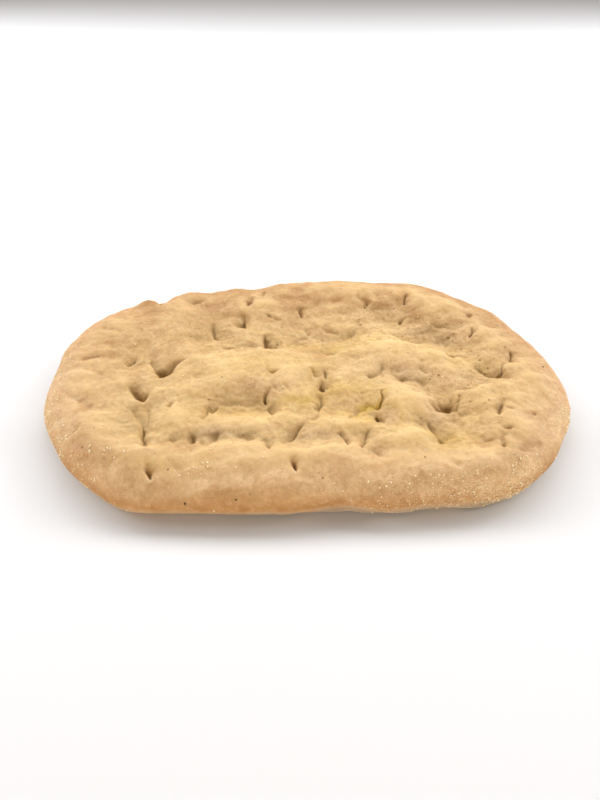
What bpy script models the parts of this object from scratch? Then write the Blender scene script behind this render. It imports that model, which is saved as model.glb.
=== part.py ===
"""A pinsa: an oval flatbread, baked plain, its top pressed all over by fingertips.

The bread is one solid. Its outline is a superellipse with soft swells, its side rolls over
to a low foot, and its top is a slightly sunken field of puffs between finger presses.
Metres, +Z up, +X along the bread, origin on the table under the middle of its box.
"""

import math

import bmesh
import bpy
import numpy as np

MM = 0.001

# Driving dimensions of the bread.
LENGTH = 303 * MM
WIDTH = 199 * MM
RIM_HEIGHT = 20 * MM
MIDDLE_HEIGHT = 16.5 * MM
OUTLINE_POWER = 2.8

# The side: a roll from the top down to the widest line, then under it to the foot.
WIDEST_HEIGHT = 7.5 * MM
TOP_ROLL = 20 * MM
FOOT_INSET = 8 * MM
FOOT_UNEVENNESS = 0.3
SHOULDER_ANGLE = math.radians(38)
RIM_CREST_INSET = 22 * MM
FIELD_INSET = 58 * MM

# Soft swells of the outline: direction and half width in degrees, reach in millimetres.
SWELLS = (
    (17, 9, -5.6),
    (30, 6.5, -1.4),
    (49.5, 8, 9.0),
    (70, 14, 8.6),
    (91, 10, 3.4),
    (112, 8, -5.0),
    (129, 9, -9.6),
    (143.5, 5, -11.4),
    (156, 6.5, -3.2),
    (171, 5, 1.6),
    (202, 9, -3.8),
    (227, 8, 6.2),
    (240, 8, 0.8),
    (262, 9, -0.6),
    (281, 10, -5.0),
    (303, 8, -3.0),
    (321, 7, 2.2),
    (340, 6, -1.8),
    (354, 11, 3.2),
)

# Finger presses in millimetres. Each runs through points of x, y and depth. Its wall is
# steep within the second radius on the right of the way it runs, and soft within the first.
PRESSES = (
    (5.5, 1.8, ((-107.5, 4.2, 1.2), (-106.2, 4.2, 4.5), (-104.7, 7, 3), (-102.9, 10.3, 1.2))),
    (15, 2, (
        (-93.7, 7.1, 1.8), (-88.6, -2.6, 4.2), (-85.3, -6.7, 6.1), (-84.1, -8, 7.7),
        (-82.6, -6, 6.6), (-79.9, -3.4, 5.6), (-76.2, 0.6, 4.8), (-73, 3.1, 2.6), (-71.3, 6.6, 0.8),
    )),
    (12, 2.4, (
        (-101, -16.6, 2.4), (-98.8, -21.3, 4.3), (-95.3, -25.9, 5.8),
        (-92.6, -27.4, 6.9), (-91.2, -27.5, 5.3), (-89.6, -25.3, 2.8), (-88.1, -21.3, 1),
    )),
    (7, 3.5, ((-94.8, -38, 1.8), (-90.7, -44.3, 2.2), (-86.8, -50.4, 2))),
    (3, 2, ((-87.3, -35.9, 1.3), (-85.3, -43.8, 1.8), (-84.7, -50.7, 1.4))),
    (3.6, 2.4, ((-89.8, -46.4, 1.8), (-87.3, -52.4, 3), (-84.3, -60.7, 4.6), (-82.4, -67, 4.3))),
    (3.2, 1.6, ((-75.1, -35.9, 1.8), (-74.3, -35, 2.8), (-73.4, -31.4, 1.4))),
    (7.5, 2.2, (
        (-79.8, -81.5, 1.4), (-78.4, -84.6, 3.6), (-76.5, -86.3, 4.6), (-74.9, -87, 3.2), (-74.3, -86.6, 1),
    )),
    (8, 6, ((-66.6, -79.7, 1), (-61.8, -82.8, 1.2))),
    (7, 4, ((-132, 4, 1.4), (-126, 8, 1.4))),
    (8, 5, ((-133, -4, 1.1), (-119, -10, 1.1))),
    (9.5, 5, ((-138, -24, 1.2), (-119, -37, 1.4))),
    (5.5, 3, ((-129, -60, 1.3), (-120, -55, 1.3))),
    (5.5, 3, ((-127.8, 35.5, 1.2), (-116.7, 31.8, 1.4))),
    (4.5, 2.6, ((-101.5, 76, 2.2), (-99, 70, 3), (-95, 64, 1.4))),
    (8, 4, ((-78.8, 66, 1.2), (-74.2, 65.1, 2), (-69.1, 68.2, 1.5), (-64.7, 74.4, 0.8))),
    (6, 1.8, ((-38.8, 65.9, 1.3), (-37, 63.3, 3.4), (-35.6, 65.1, 2.4), (-34.4, 71.4, 1))),
    (2.4, 1.6, ((-28.1, 72.8, 1.2), (-26.3, 77.4, 1.6))),
    (2, 1.8, ((-23.5, 52.5, 1.8), (-22.8, 51.4, 1.8))),
    (1.8, 1.4, ((-23.4, 50.8, 0.8), (-15.5, 49.9, 0.8))),
    (5.4, 1.8, ((-2.5, 63.2, 2.4), (-1.5, 56.7, 4.2), (-1.1, 56.2, 3.6), (-0.1, 57.3, 1.2))),
    (8, 2, (
        (-43.5, 43.1, 1.6), (-39.8, 41.6, 3.4), (-38.2, 41.7, 4.8), (-37.9, 45, 4), (-38.6, 51.4, 1.6),
    )),
    (6.5, 1.8, (
        (-59.6, 43.7, 1.4), (-59.6, 38, 3.6), (-58.2, 32.6, 4.3), (-55.6, 30, 2.6), (-53.5, 28.1, 1),
    )),
    (5, 1.5, (
        (-50.3, 18.4, 1.4), (-46.3, 16.7, 2.2), (-42.7, 18.8, 1.5), (-38.2, 21.5, 1), (-30.2, 19.6, 1.1),
    )),
    (9, 1.8, (
        (-25.4, 30.9, 2.4), (-24.7, 23.7, 6.1), (-23.6, 20.2, 7.5),
        (-21.3, 20.3, 5.9), (-18.1, 20.8, 4.2), (-14.8, 25.1, 1.4),
    )),
    (3.4, 2, ((1.7, 39.7, 1.4), (3.3, 36.9, 2))),
    (4, 1.7, ((14.3, 39.9, 1.2), (17.4, 38.2, 2.4), (21.2, 36.9, 1.7))),
    (5, 2.5, ((25.9, 31.7, 1.1), (30.4, 34.9, 1.8), (34.3, 39.6, 1.5), (37.3, 46.4, 1))),
    (6, 2.4, ((11.3, 17.9, 1), (15, 13.3, 2), (17.9, 13, 1.8), (21.1, 15.3, 1))),
    (5.5, 2, ((40.3, 69.8, 1.2), (42.5, 66.6, 3), (43.4, 66.5, 3.4), (44.7, 68.1, 1.8))),
    (1.8, 1.4, ((36.6, 73, 1), (39.9, 68.7, 1.6), (42.1, 64.6, 2))),
    (5.2, 2, ((70, 76.2, 1.8), (69.1, 70.9, 3.4), (69.1, 68.9, 4.2), (69.9, 70, 1.6))),
    (4.6, 1.8, ((62.8, 50.1, 1.3), (64.2, 48.4, 3.6), (65.3, 49.3, 2.4), (68.2, 53, 1))),
    (5.4, 2.2, ((107.3, 49.6, 1.8), (108, 48.9, 3), (110.3, 52.1, 1.7))),
    (4.4, 2, ((107.5, 36.8, 2), (106.2, 31.5, 3.4), (105.6, 29.8, 3.8), (106.1, 31.4, 1.4))),
    (7, 4, ((86.8, 42.5, 1.2), (95.8, 39.2, 1.4), (101.6, 39.6, 1))),
    (10, 2.6, (
        (57.3, 31.6, 1.4), (62.8, 25.8, 2.4), (66.6, 21.6, 4), (70.2, 23.6, 3.4), (76.6, 29.8, 1.4),
    )),
    (6.5, 2, ((86.3, 14.9, 1.3), (88.3, 9.2, 2.8), (89.8, 8.4, 4.3), (93.3, 9.8, 2.4), (99.7, 9.1, 1.2))),
    (6, 2, ((126.3, 11.8, 2), (125, 5.9, 3.2), (124.6, 3.3, 3.6), (126.9, 6.6, 1.2))),
    (11, 2.2, ((100.5, -0.5, 1.8), (104.4, -4.9, 3.2), (107, -9.2, 4.5), (108.1, -10.4, 5.6))),
    (7, 1.8, ((112.7, -10.3, 3.6), (113.4, -10.7, 5.9), (116, -11, 3), (119.5, -13.4, 1))),
    (3, 1.6, ((118.3, 0.6, 1.3), (115.9, -7, 3.4), (114.8, -10.8, 4.6))),
    (2.2, 1.5, ((91.3, -20.5, 1), (94.2, -22.7, 1.6), (98, -19.2, 1.3), (104.6, -16.2, 0.8))),
    (7, 1.9, ((52.6, -8.9, 1.2), (54.7, -12.7, 2.5), (56.6, -13.4, 3.6), (60.5, -12.2, 1.5))),
    (4, 2.4, ((68.8, -5.3, 1), (72.2, -6.8, 1.2))),
    (3, 1.8, ((65.5, -12.5, 1), (68.2, -16, 1.5), (68.9, -22.7, 1))),
    (7, 2, ((35.7, -11.3, 1.3), (37.8, -13.4, 3.2), (40, -13.1, 2.8), (43.2, -8.6, 2.1), (47.4, -2.9, 1))),
    (2.4, 1.6, ((46.7, 0, 1), (45.9, -5, 1.7), (45.2, -10.2, 1.9))),
    (4.4, 2.2, ((4.3, -4.3, 1.4), (5.7, -8, 2.4), (7.6, -10.7, 1.9))),
    (4.6, 1.8, ((11.1, -5.7, 1.4), (12.2, -9.5, 3.4), (12.7, -8.2, 1.4))),
    (7, 1.9, (
        (9.4, -17.1, 2.4), (9.6, -20.6, 4.6), (10, -21.2, 5.1), (11.3, -20.7, 2.8), (14.6, -18.9, 1),
    )),
    (6, 1.9, ((5.8, -35.9, 1.4), (7.8, -38.2, 4.3), (8.9, -34.6, 3.2), (10, -27.9, 1.4))),
    (2.4, 1.6, ((3.3, -46.1, 1), (5.1, -45.9, 1.7), (7.6, -43.7, 1))),
    (5.5, 2, ((40, -45.5, 4.2), (39.7, -45.6, 2.6))),
    (3.2, 1.4, ((44.6, -26.3, 1.6), (43.5, -30.3, 2.4), (42.5, -34.2, 3), (41.5, -36.9, 2.6))),
    (3.4, 1.5, (
        (29.9, -38.5, 0.9), (33.7, -36, 1.3), (37, -36.3, 1.6),
        (40, -37.8, 2.2), (43.2, -37.7, 1.3), (49.1, -40, 0.8),
    )),
    (2.4, 1.8, ((25.6, -45.5, 1.1), (30, -38.4, 1.3))),
    (4, 2.4, ((32.9, -27.1, 1), (36.3, -26.1, 1))),
    (2.2, 1.6, ((85.3, -42.2, 0.9), (90.2, -41.4, 1))),
    (10, 2.2, (
        (69.4, -33.6, 1.4), (73.5, -34.9, 2.2), (76.7, -36.2, 3.4),
        (79.2, -37.1, 5.1), (80.5, -36.2, 4.5), (82.2, -33, 2.4), (84.4, -27.5, 1),
    )),
    (2.6, 1.6, ((84.3, -28.4, 1.2), (83, -33, 2.2), (82.2, -35.8, 2.8))),
    (2.4, 1.6, ((87.7, -27.6, 1.3), (86.2, -32, 1.9), (83.7, -36.7, 2.3))),
    (9, 2.2, (
        (66.2, -48.8, 1.6), (68.1, -53.2, 2.8), (70.2, -59.6, 2.8),
        (70.9, -62.4, 4.8), (71.2, -62.5, 4.6), (73.4, -60.3, 2.6), (79.4, -57.5, 1),
    )),
    (3.2, 1.7, ((17.8, -58.6, 1.3), (20.4, -61.6, 2), (21.8, -65.6, 3))),
    (4.6, 1.3, ((32.8, -56.3, 1.2), (30.7, -61.6, 2.8), (29.2, -68.5, 4.2), (29.9, -66.5, 2.4))),
    (2.6, 1.6, ((29.8, -63.8, 2.2), (32.8, -57.7, 1.4), (35.2, -54.5, 0.8))),
    (6, 3.6, ((35.3, -70.2, 1.1), (38.4, -74, 1.5))),
    (15, 3.6, (
        (-46.9, -33.9, 1.2), (-40.9, -31.8, 1.9), (-34.6, -31, 2.1), (-28.7, -30.7, 1.9), (-23.4, -31.6, 1),
    )),
    (7, 2, (
        (-52.9, -33.7, 1.4), (-51.2, -39.8, 3), (-50.3, -40.7, 3.8), (-49.3, -37.8, 2.8), (-47.8, -33.3, 1),
    )),
    (1.8, 1.4, ((-52.9, -35, 1.5), (-52.8, -40.8, 2.2), (-54.9, -46.4, 1.8))),
    (4.4, 1.8, ((-22.6, -22.6, 2.4), (-22.4, -26.8, 4.8), (-22.4, -28.6, 4.5))),
    (6, 2, ((-19.9, -35.9, 1.4), (-17.4, -39.3, 3.8), (-15.6, -38.2, 1.4))),
    (3.2, 1.6, ((-20, -6.7, 1.1), (-17.9, -8.2, 2.3), (-15.4, -7.9, 1.1))),
    (2.4, 1.6, ((-12.6, -18.6, 0.7), (-10.1, -20.8, 1.2), (-8.2, -24.4, 0.9))),
    (2.4, 1.6, ((-16.5, -19.7, 0.7), (-14.1, -22.5, 1))),
    (4.4, 1.8, ((-70.3, -62.3, 1.2), (-68.6, -63.3, 2), (-66.5, -62, 1))),
    (6.5, 1.8, ((-61.1, -61.8, 1.6), (-59.3, -62.8, 3), (-58.5, -62.6, 3.4), (-57.7, -59.6, 1.6))),
    (5.5, 1.7, (
        (-53.9, -64.1, 1.1), (-50.7, -66.7, 1.7), (-49.4, -66.6, 1.9),
        (-47.8, -61.9, 1.7), (-45.5, -59.8, 1.3), (-44.4, -58.2, 0.6),
    )),
    (5.5, 1.8, ((-35, -59.7, 0.9), (-31.6, -60.6, 1.6), (-29, -62, 2.2), (-26.6, -62.3, 1))),
    (6.5, 2, (
        (-21.3, -63.5, 1.3), (-19.1, -68, 3.2),
        (-18.4, -68.4, 3.8), (-17.4, -67.5, 2.4), (-15.2, -62.3, 0.9),
    )),
    (5.5, 1.8, (
        (-10.7, -64.9, 1.7), (-7.7, -60.8, 2.8), (-4.6, -56.4, 2.8), (-2.5, -52.2, 2.4), (-0.8, -50, 1),
    )),
    (6.5, 2, ((-6.2, -77, 2), (-5.7, -81, 4.2), (-4.6, -83, 4.3), (-3.7, -82.6, 1.8))),
    (4.6, 1.9, (
        (106.2, -42.5, 2.2), (105.9, -42.9, 4.3), (106.7, -40.1, 3.6), (109, -35.8, 2), (111.5, -32.9, 1),
    )),
    (6.5, 2.2, ((100.9, -64.1, 1.8), (101.5, -68.2, 4), (102.8, -66.3, 2.4), (104.9, -60.5, 1.1))),
    (3, 2, ((106.3, -54.1, 1.1), (109.3, -54.7, 1.5))),
    (5, 3, ((93.5, -61.3, 1), (94.7, -63.5, 1.7))),
    (3, 2, ((123.8, -42.1, 1.1), (125.6, -42.8, 1.8))),
    (2, 1.4, ((110.9, -40.5, 1), (113.7, -40.4, 1.2))),
    (8, 5, ((103, -69.5, 0.8), (108.1, -71, 1.6), (115.3, -69.1, 1.8), (120.9, -64.4, 1))),
    (6, 4, ((71.7, -79.2, 1), (75, -80.2, 1.6))),
)

# How a press falls off from its nearest run, how it narrows round its ends, and how presses
# that overlap join.
PRESS_NARROWNESS = 2.0
PRESS_ROUNDNESS = 1.3
PRESS_BLEND = 3.0
PRESS_TIP = 3.0
NEAREST_PULL = 8.0
LEAST_DISTANCE = 0.001 * MM

# Puffs between the presses, in millimetres: x, y, half length, half width, turn, and height.
PUFF_SQUARENESS = 2.4
PUFFS = (
    (-50, 1, 28, 21, 8, 6.0),
    (-7, -4, 16, 19, 0, 5.2),
    (29, -18, 17, 18, 10, 5.0),
    (74, 2, 29, 17, -14, 5.2),
    (42, 16, 27, 13, -2, 3.0),
    (57, -32, 15, 15, 0, 5.6),
    (54, -61, 15, 10, 0, 5.0),
    (96, -26, 14, 13, 0, 4.0),
    (20, -50, 18, 8, 0, 3.8),
    (-34, -49, 22, 9, 5, 4.4),
    (-70, -46, 16, 12, 0, 3.8),
    (-68, -22, 14, 11, 0, 3.2),
    (-40, -74, 30, 9, 0, 3.2),
    (8, -74, 22, 9, 0, 3.4),
    (-92, -74, 14, 10, -20, 2.6),
    (100, -76, 20, 10, 12, 3.6),
    (60, -80, 22, 9, 0, 2.4),
    (-120, -20, 14, 26, 0, 1.4),
    (132, -22, 12, 22, 0, 1.6),
    (-105, 71, 8, 6, 25, 5.2),
    (-73, 81, 12, 7, 15, 2.2),
    (-62, 84, 7, 6, 0, 1.8),
    (-46, 86, 8, 6, 0, 2.4),
    (20, 82, 40, 12, 0, 1.6),
    (90, 64, 22, 12, -30, 2.2),
    (-78, 44, 20, 14, 10, 3.2),
    (-30, 62, 18, 10, 0, 2.2),
    (12, 28, 26, 13, 0, -3.0),
    (94, 24, 22, 9, -25, -2.6),
    (-118, 40, 18, 12, 40, 1.2),
    (118, 20, 10, 12, 0, 1.6),
    (-84, -30, 8, 22, 0, -1.4),
)

# Random waves of the dough: wavelength and height in millimetres.
BROAD_WAVES = (42, 0.9)
FINE_WAVES = (13, 0.3)
WAVES_SUMMED = 28

# Mesh: the spacing before it is thinned where the surface is even, and what is left after.
MESH_SPACING = 1.3 * MM
MOST_TRIANGLES = 11400

# The foot is flat where it is lower than this.
FLAT_WITHIN = 0.1 * MM

CRUST_COLOUR = (0.68, 0.45, 0.23, 1)
CRUST_ROUGHNESS = 0.78


def clear_scene():
    """Removes every object that the scene starts with."""
    for obj in list(bpy.data.objects):
        bpy.data.objects.remove(obj)


def smooth_step(share):
    """0 below 0, 1 above 1, and a smooth rise between."""
    share = np.clip(share, 0.0, 1.0)
    return share * share * (3 - 2 * share)


def outline_radius(angle):
    """Distance from the middle to the bread's widest line, in the direction of each angle."""
    along = np.abs(np.cos(angle) / (LENGTH / 2)) ** OUTLINE_POWER
    across = np.abs(np.sin(angle) / (WIDTH / 2)) ** OUTLINE_POWER
    radius = (along + across) ** (-1 / OUTLINE_POWER)
    for direction, half_width, reach in SWELLS:
        apart = np.degrees(angle) - direction
        apart = (apart + 180) % 360 - 180
        radius = radius + reach * MM * np.exp(-((apart / half_width) ** 2))
    return radius


def waves(x, y, wavelength, height, seed):
    """Uneven waves of the dough at each point, with no direction of their own."""
    chance = np.random.default_rng(seed)
    lift = np.zeros_like(x)
    for _ in range(WAVES_SUMMED):
        heading = chance.uniform(0, 2 * math.pi)
        length = wavelength * MM * chance.uniform(0.7, 1.6)
        phase = chance.uniform(0, 2 * math.pi)
        run = x * math.cos(heading) + y * math.sin(heading)
        lift += np.sin(2 * math.pi * run / length + phase)
    return height * MM * lift * math.sqrt(2 / WAVES_SUMMED)


def run_shares(x, y, start, end):
    """Each point's distance from one straight run, how far it lies to the right, and its depth."""
    (x0, y0, depth0), (x1, y1, depth1) = start, end
    run_x, run_y = (x1 - x0) * MM, (y1 - y0) * MM
    length = math.hypot(run_x, run_y)
    along = ((x - x0 * MM) * run_x + (y - y0 * MM) * run_y) / length**2
    along = np.clip(along, 0, 1)
    off_x = x - x0 * MM - along * run_x
    off_y = y - y0 * MM - along * run_y
    distance = np.hypot(off_x, off_y) + LEAST_DISTANCE
    to_right = (off_x * run_y - off_y * run_x) / (length * distance)
    return distance, to_right, (depth0 + (depth1 - depth0) * along) * MM


def stroke_depth(x, y, soft, steep, points):
    """Depth that one press leaves at each point, shaped by its nearest run."""
    nearest = np.full_like(x, np.inf)
    weight, side, depth = np.zeros_like(x), np.zeros_like(x), np.zeros_like(x)
    for start, end in zip(points, points[1:]):
        distance, to_right, run_depth = run_shares(x, y, start, end)
        pull = (distance / MM) ** -NEAREST_PULL
        nearest = np.minimum(nearest, distance)
        weight += pull
        side += pull * to_right
        depth += pull * run_depth
    to_left = np.clip(0.5 - 0.5 * side / weight, 0, 1)
    radius = (steep + (soft - steep) * to_left**PRESS_TIP) * MM
    share = PRESS_NARROWNESS * nearest / radius
    return depth / weight * np.exp(-(share**PRESS_ROUNDNESS))


def press_depth(x, y):
    """How far all the fingertips have pressed the top in at each point."""
    together = np.zeros_like(x)
    for soft, steep, points in PRESSES:
        together += stroke_depth(x, y, soft, steep, points) ** PRESS_BLEND
    return together ** (1 / PRESS_BLEND)


def puff_lift(x, y):
    """How far the dough has risen between the presses at each point."""
    lift = np.zeros_like(x)
    for cx, cy, half_length, half_width, turn, height in PUFFS:
        turned = math.radians(turn)
        east, north = x - cx * MM, y - cy * MM
        along = (east * math.cos(turned) + north * math.sin(turned)) / (half_length * MM)
        across = (north * math.cos(turned) - east * math.sin(turned)) / (half_width * MM)
        share = np.hypot(along, across)
        lift += height * MM * np.exp(-(share**PUFF_SQUARENESS))
    return lift


def top_height(x, y):
    """Height of the upper surface at each point inside the widest line."""
    angle = np.arctan2(y, x)
    inset = outline_radius(angle) - np.hypot(x, y)
    sunk = smooth_step((inset - RIM_CREST_INSET) / (FIELD_INSET - RIM_CREST_INSET))
    crown = RIM_HEIGHT - (RIM_HEIGHT - MIDDLE_HEIGHT) * sunk
    crown += puff_lift(x, y)
    crown += waves(x, y, *BROAD_WAVES, seed=4) + waves(x, y, *FINE_WAVES, seed=9)
    rolled = np.clip(1 - inset / TOP_ROLL, 0, 1)
    roll = np.sqrt(1 - rolled**2)
    pressed = press_depth(x, y) * smooth_step(inset / (0.5 * TOP_ROLL))
    return WIDEST_HEIGHT + (crown - WIDEST_HEIGHT) * roll - pressed


def block(along, across, tall):
    """A cube from -1 to 1, cut into that many pieces each way."""
    mesh = bmesh.new()
    bmesh.ops.create_cube(mesh, size=2)
    for axis, pieces in enumerate((along, across, tall)):
        edges = []
        for edge in mesh.edges:
            run = edge.verts[1].co - edge.verts[0].co
            if abs(run[axis]) > 1e-6:
                edges.append(edge)
        bmesh.ops.subdivide_edges(mesh, edges=edges, cuts=pieces - 1, use_grid_fill=True)
    return mesh


def side_line(level, foot):
    """Inset of the side at each level from -1, the foot, to 1, the shoulder, and its height below 0."""
    below = np.clip(-level, 0, 1) * math.pi / 2
    above = np.clip(level, 0, 1) * SHOULDER_ANGLE
    inset = foot * (1 - np.cos(below)) + TOP_ROLL * (1 - np.cos(above))
    height = WIDEST_HEIGHT * (1 - np.sin(below))
    return inset, height


def shape_bread(points):
    """Moves the block's points, an array of x, y, z from -1 to 1, onto the bread."""
    s, t, level = points.T
    ring = np.maximum(np.abs(s), np.abs(t))
    angle = np.arctan2(t * WIDTH, s * LENGTH)
    radius = outline_radius(angle)
    wander = waves(np.cos(angle), np.sin(angle), 700, 1000 * FOOT_UNEVENNESS, seed=2)
    foot = FOOT_INSET * (1 + wander)
    inset, low = side_line(level, foot)
    shoulder = TOP_ROLL * (1 - math.cos(SHOULDER_ANGLE))
    reach = np.where(level > 1 - 1e-6, (radius - shoulder) * ring, radius - inset)
    reach = np.where(level < -1 + 1e-6, (radius - foot) * ring, reach)
    x, y = reach * np.cos(angle), reach * np.sin(angle)
    z = np.where(level >= 0, top_height(x, y), low)
    return np.stack([x, y, z], axis=1)


def set_points(mesh, points):
    """Puts the mesh's vertices at these points."""
    for vertex, point in zip(mesh.vertices, points):
        vertex.co = point


def points_of(mesh):
    """The mesh's vertices as an array of x, y and z."""
    return np.array([vertex.co for vertex in mesh.vertices])


def whole_surface():
    """The bread's surface as a mesh of even spacing."""
    along = round(LENGTH / MESH_SPACING)
    across = round(WIDTH / MESH_SPACING)
    up = round((TOP_ROLL * SHOULDER_ANGLE + FOOT_INSET + WIDEST_HEIGHT) / (2 * MESH_SPACING))
    grid = block(along, across, 2 * up)
    bmesh.ops.triangulate(grid, faces=grid.faces)
    mesh = bpy.data.meshes.new("pinsa")
    grid.to_mesh(mesh)
    grid.free()
    set_points(mesh, shape_bread(points_of(mesh)))
    return mesh


def thinned(mesh, most):
    """The mesh with its triangles thinned to this number where the surface is even."""
    sample = bpy.data.objects.new("sample", mesh)
    bpy.context.scene.collection.objects.link(sample)
    thin = sample.modifiers.new("thin", "DECIMATE")
    thin.ratio = most / len(mesh.polygons)
    graph = bpy.context.evaluated_depsgraph_get()
    result = bpy.data.meshes.new_from_object(sample.evaluated_get(graph))
    bpy.data.objects.remove(sample)
    return result


def build_bread():
    """The whole bread as one closed solid, centred, with its flat underside on the table."""
    mesh = thinned(whole_surface(), MOST_TRIANGLES)
    points = points_of(mesh)
    middle = (points.min(axis=0) + points.max(axis=0)) / 2
    points[:, :2] -= middle[:2]
    points[:, 2] = np.where(points[:, 2] < FLAT_WITHIN, 0, points[:, 2])
    set_points(mesh, points)
    mesh.shade_smooth()
    bread = bpy.data.objects.new("pinsa", mesh)
    bpy.context.scene.collection.objects.link(bread)
    return bread


def crust_material():
    """Pale golden baked crust."""
    material = bpy.data.materials.new("baked_crust")
    material.use_nodes = True
    shader = material.node_tree.nodes["Principled BSDF"]
    shader.inputs["Base Color"].default_value = CRUST_COLOUR
    shader.inputs["Roughness"].default_value = CRUST_ROUGHNESS
    shader.inputs["Metallic"].default_value = 0.0
    return material


def main():
    """Clears the scene and makes the bread in its crust."""
    clear_scene()
    bread = build_bread()
    bread.data.materials.append(crust_material())


main()
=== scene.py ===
"""A pinsa fresh from the oven: an oval flatbread baked plain, its top pressed by fingertips.

The loaf is one fine surface that stands for its solid. Semolina grains and bran flecks lie
on its crust. Metres, +Z up, +X along the loaf. Places on the loaf are in millimetres on its
plan, whose middle is the outline's own, and move with it onto the solid's box.
"""

import logging
import math
from collections.abc import Sequence
from dataclasses import dataclass, field
from enum import Enum

import bmesh
import bpy
import numpy as np
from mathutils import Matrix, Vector
from mathutils.bvhtree import BVHTree


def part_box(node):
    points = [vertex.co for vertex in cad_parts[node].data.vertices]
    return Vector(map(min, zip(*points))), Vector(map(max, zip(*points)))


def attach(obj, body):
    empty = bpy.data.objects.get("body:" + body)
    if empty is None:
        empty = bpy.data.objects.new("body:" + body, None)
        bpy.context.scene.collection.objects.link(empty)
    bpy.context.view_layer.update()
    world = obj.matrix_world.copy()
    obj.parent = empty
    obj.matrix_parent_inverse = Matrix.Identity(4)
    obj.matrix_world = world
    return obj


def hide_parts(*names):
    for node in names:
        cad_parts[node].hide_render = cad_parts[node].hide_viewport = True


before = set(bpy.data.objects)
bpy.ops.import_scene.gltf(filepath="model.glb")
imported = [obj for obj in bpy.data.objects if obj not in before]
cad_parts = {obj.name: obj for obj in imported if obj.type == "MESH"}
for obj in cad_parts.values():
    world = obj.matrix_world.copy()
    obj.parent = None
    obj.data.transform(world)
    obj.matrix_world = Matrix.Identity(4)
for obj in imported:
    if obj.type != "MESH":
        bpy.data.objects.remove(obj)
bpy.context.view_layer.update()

LOG = logging.getLogger("pinsa")
MM = 0.001
NODE = "pinsa"
PIECE = "pinsa_crust"
TINY = 1e-6

# Soft swells of the outline: direction and half width in degrees, reach in millimetres.
SWELLS = (
    (17, 9, -5.6), (30, 6.5, -1.4), (49.5, 8, 9.0), (70, 14, 8.6), (91, 10, 3.4), (112, 8, -5.0),
    (129, 9, -9.6), (143.5, 5, -11.4), (156, 6.5, -3.2), (171, 5, 1.6), (202, 9, -3.8), (227, 8, 6.2),
    (240, 8, 0.8), (262, 9, -0.6), (281, 10, -5.0), (303, 8, -3.0), (321, 7, 2.2), (340, 6, -1.8),
    (354, 11, 3.2),
)

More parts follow.
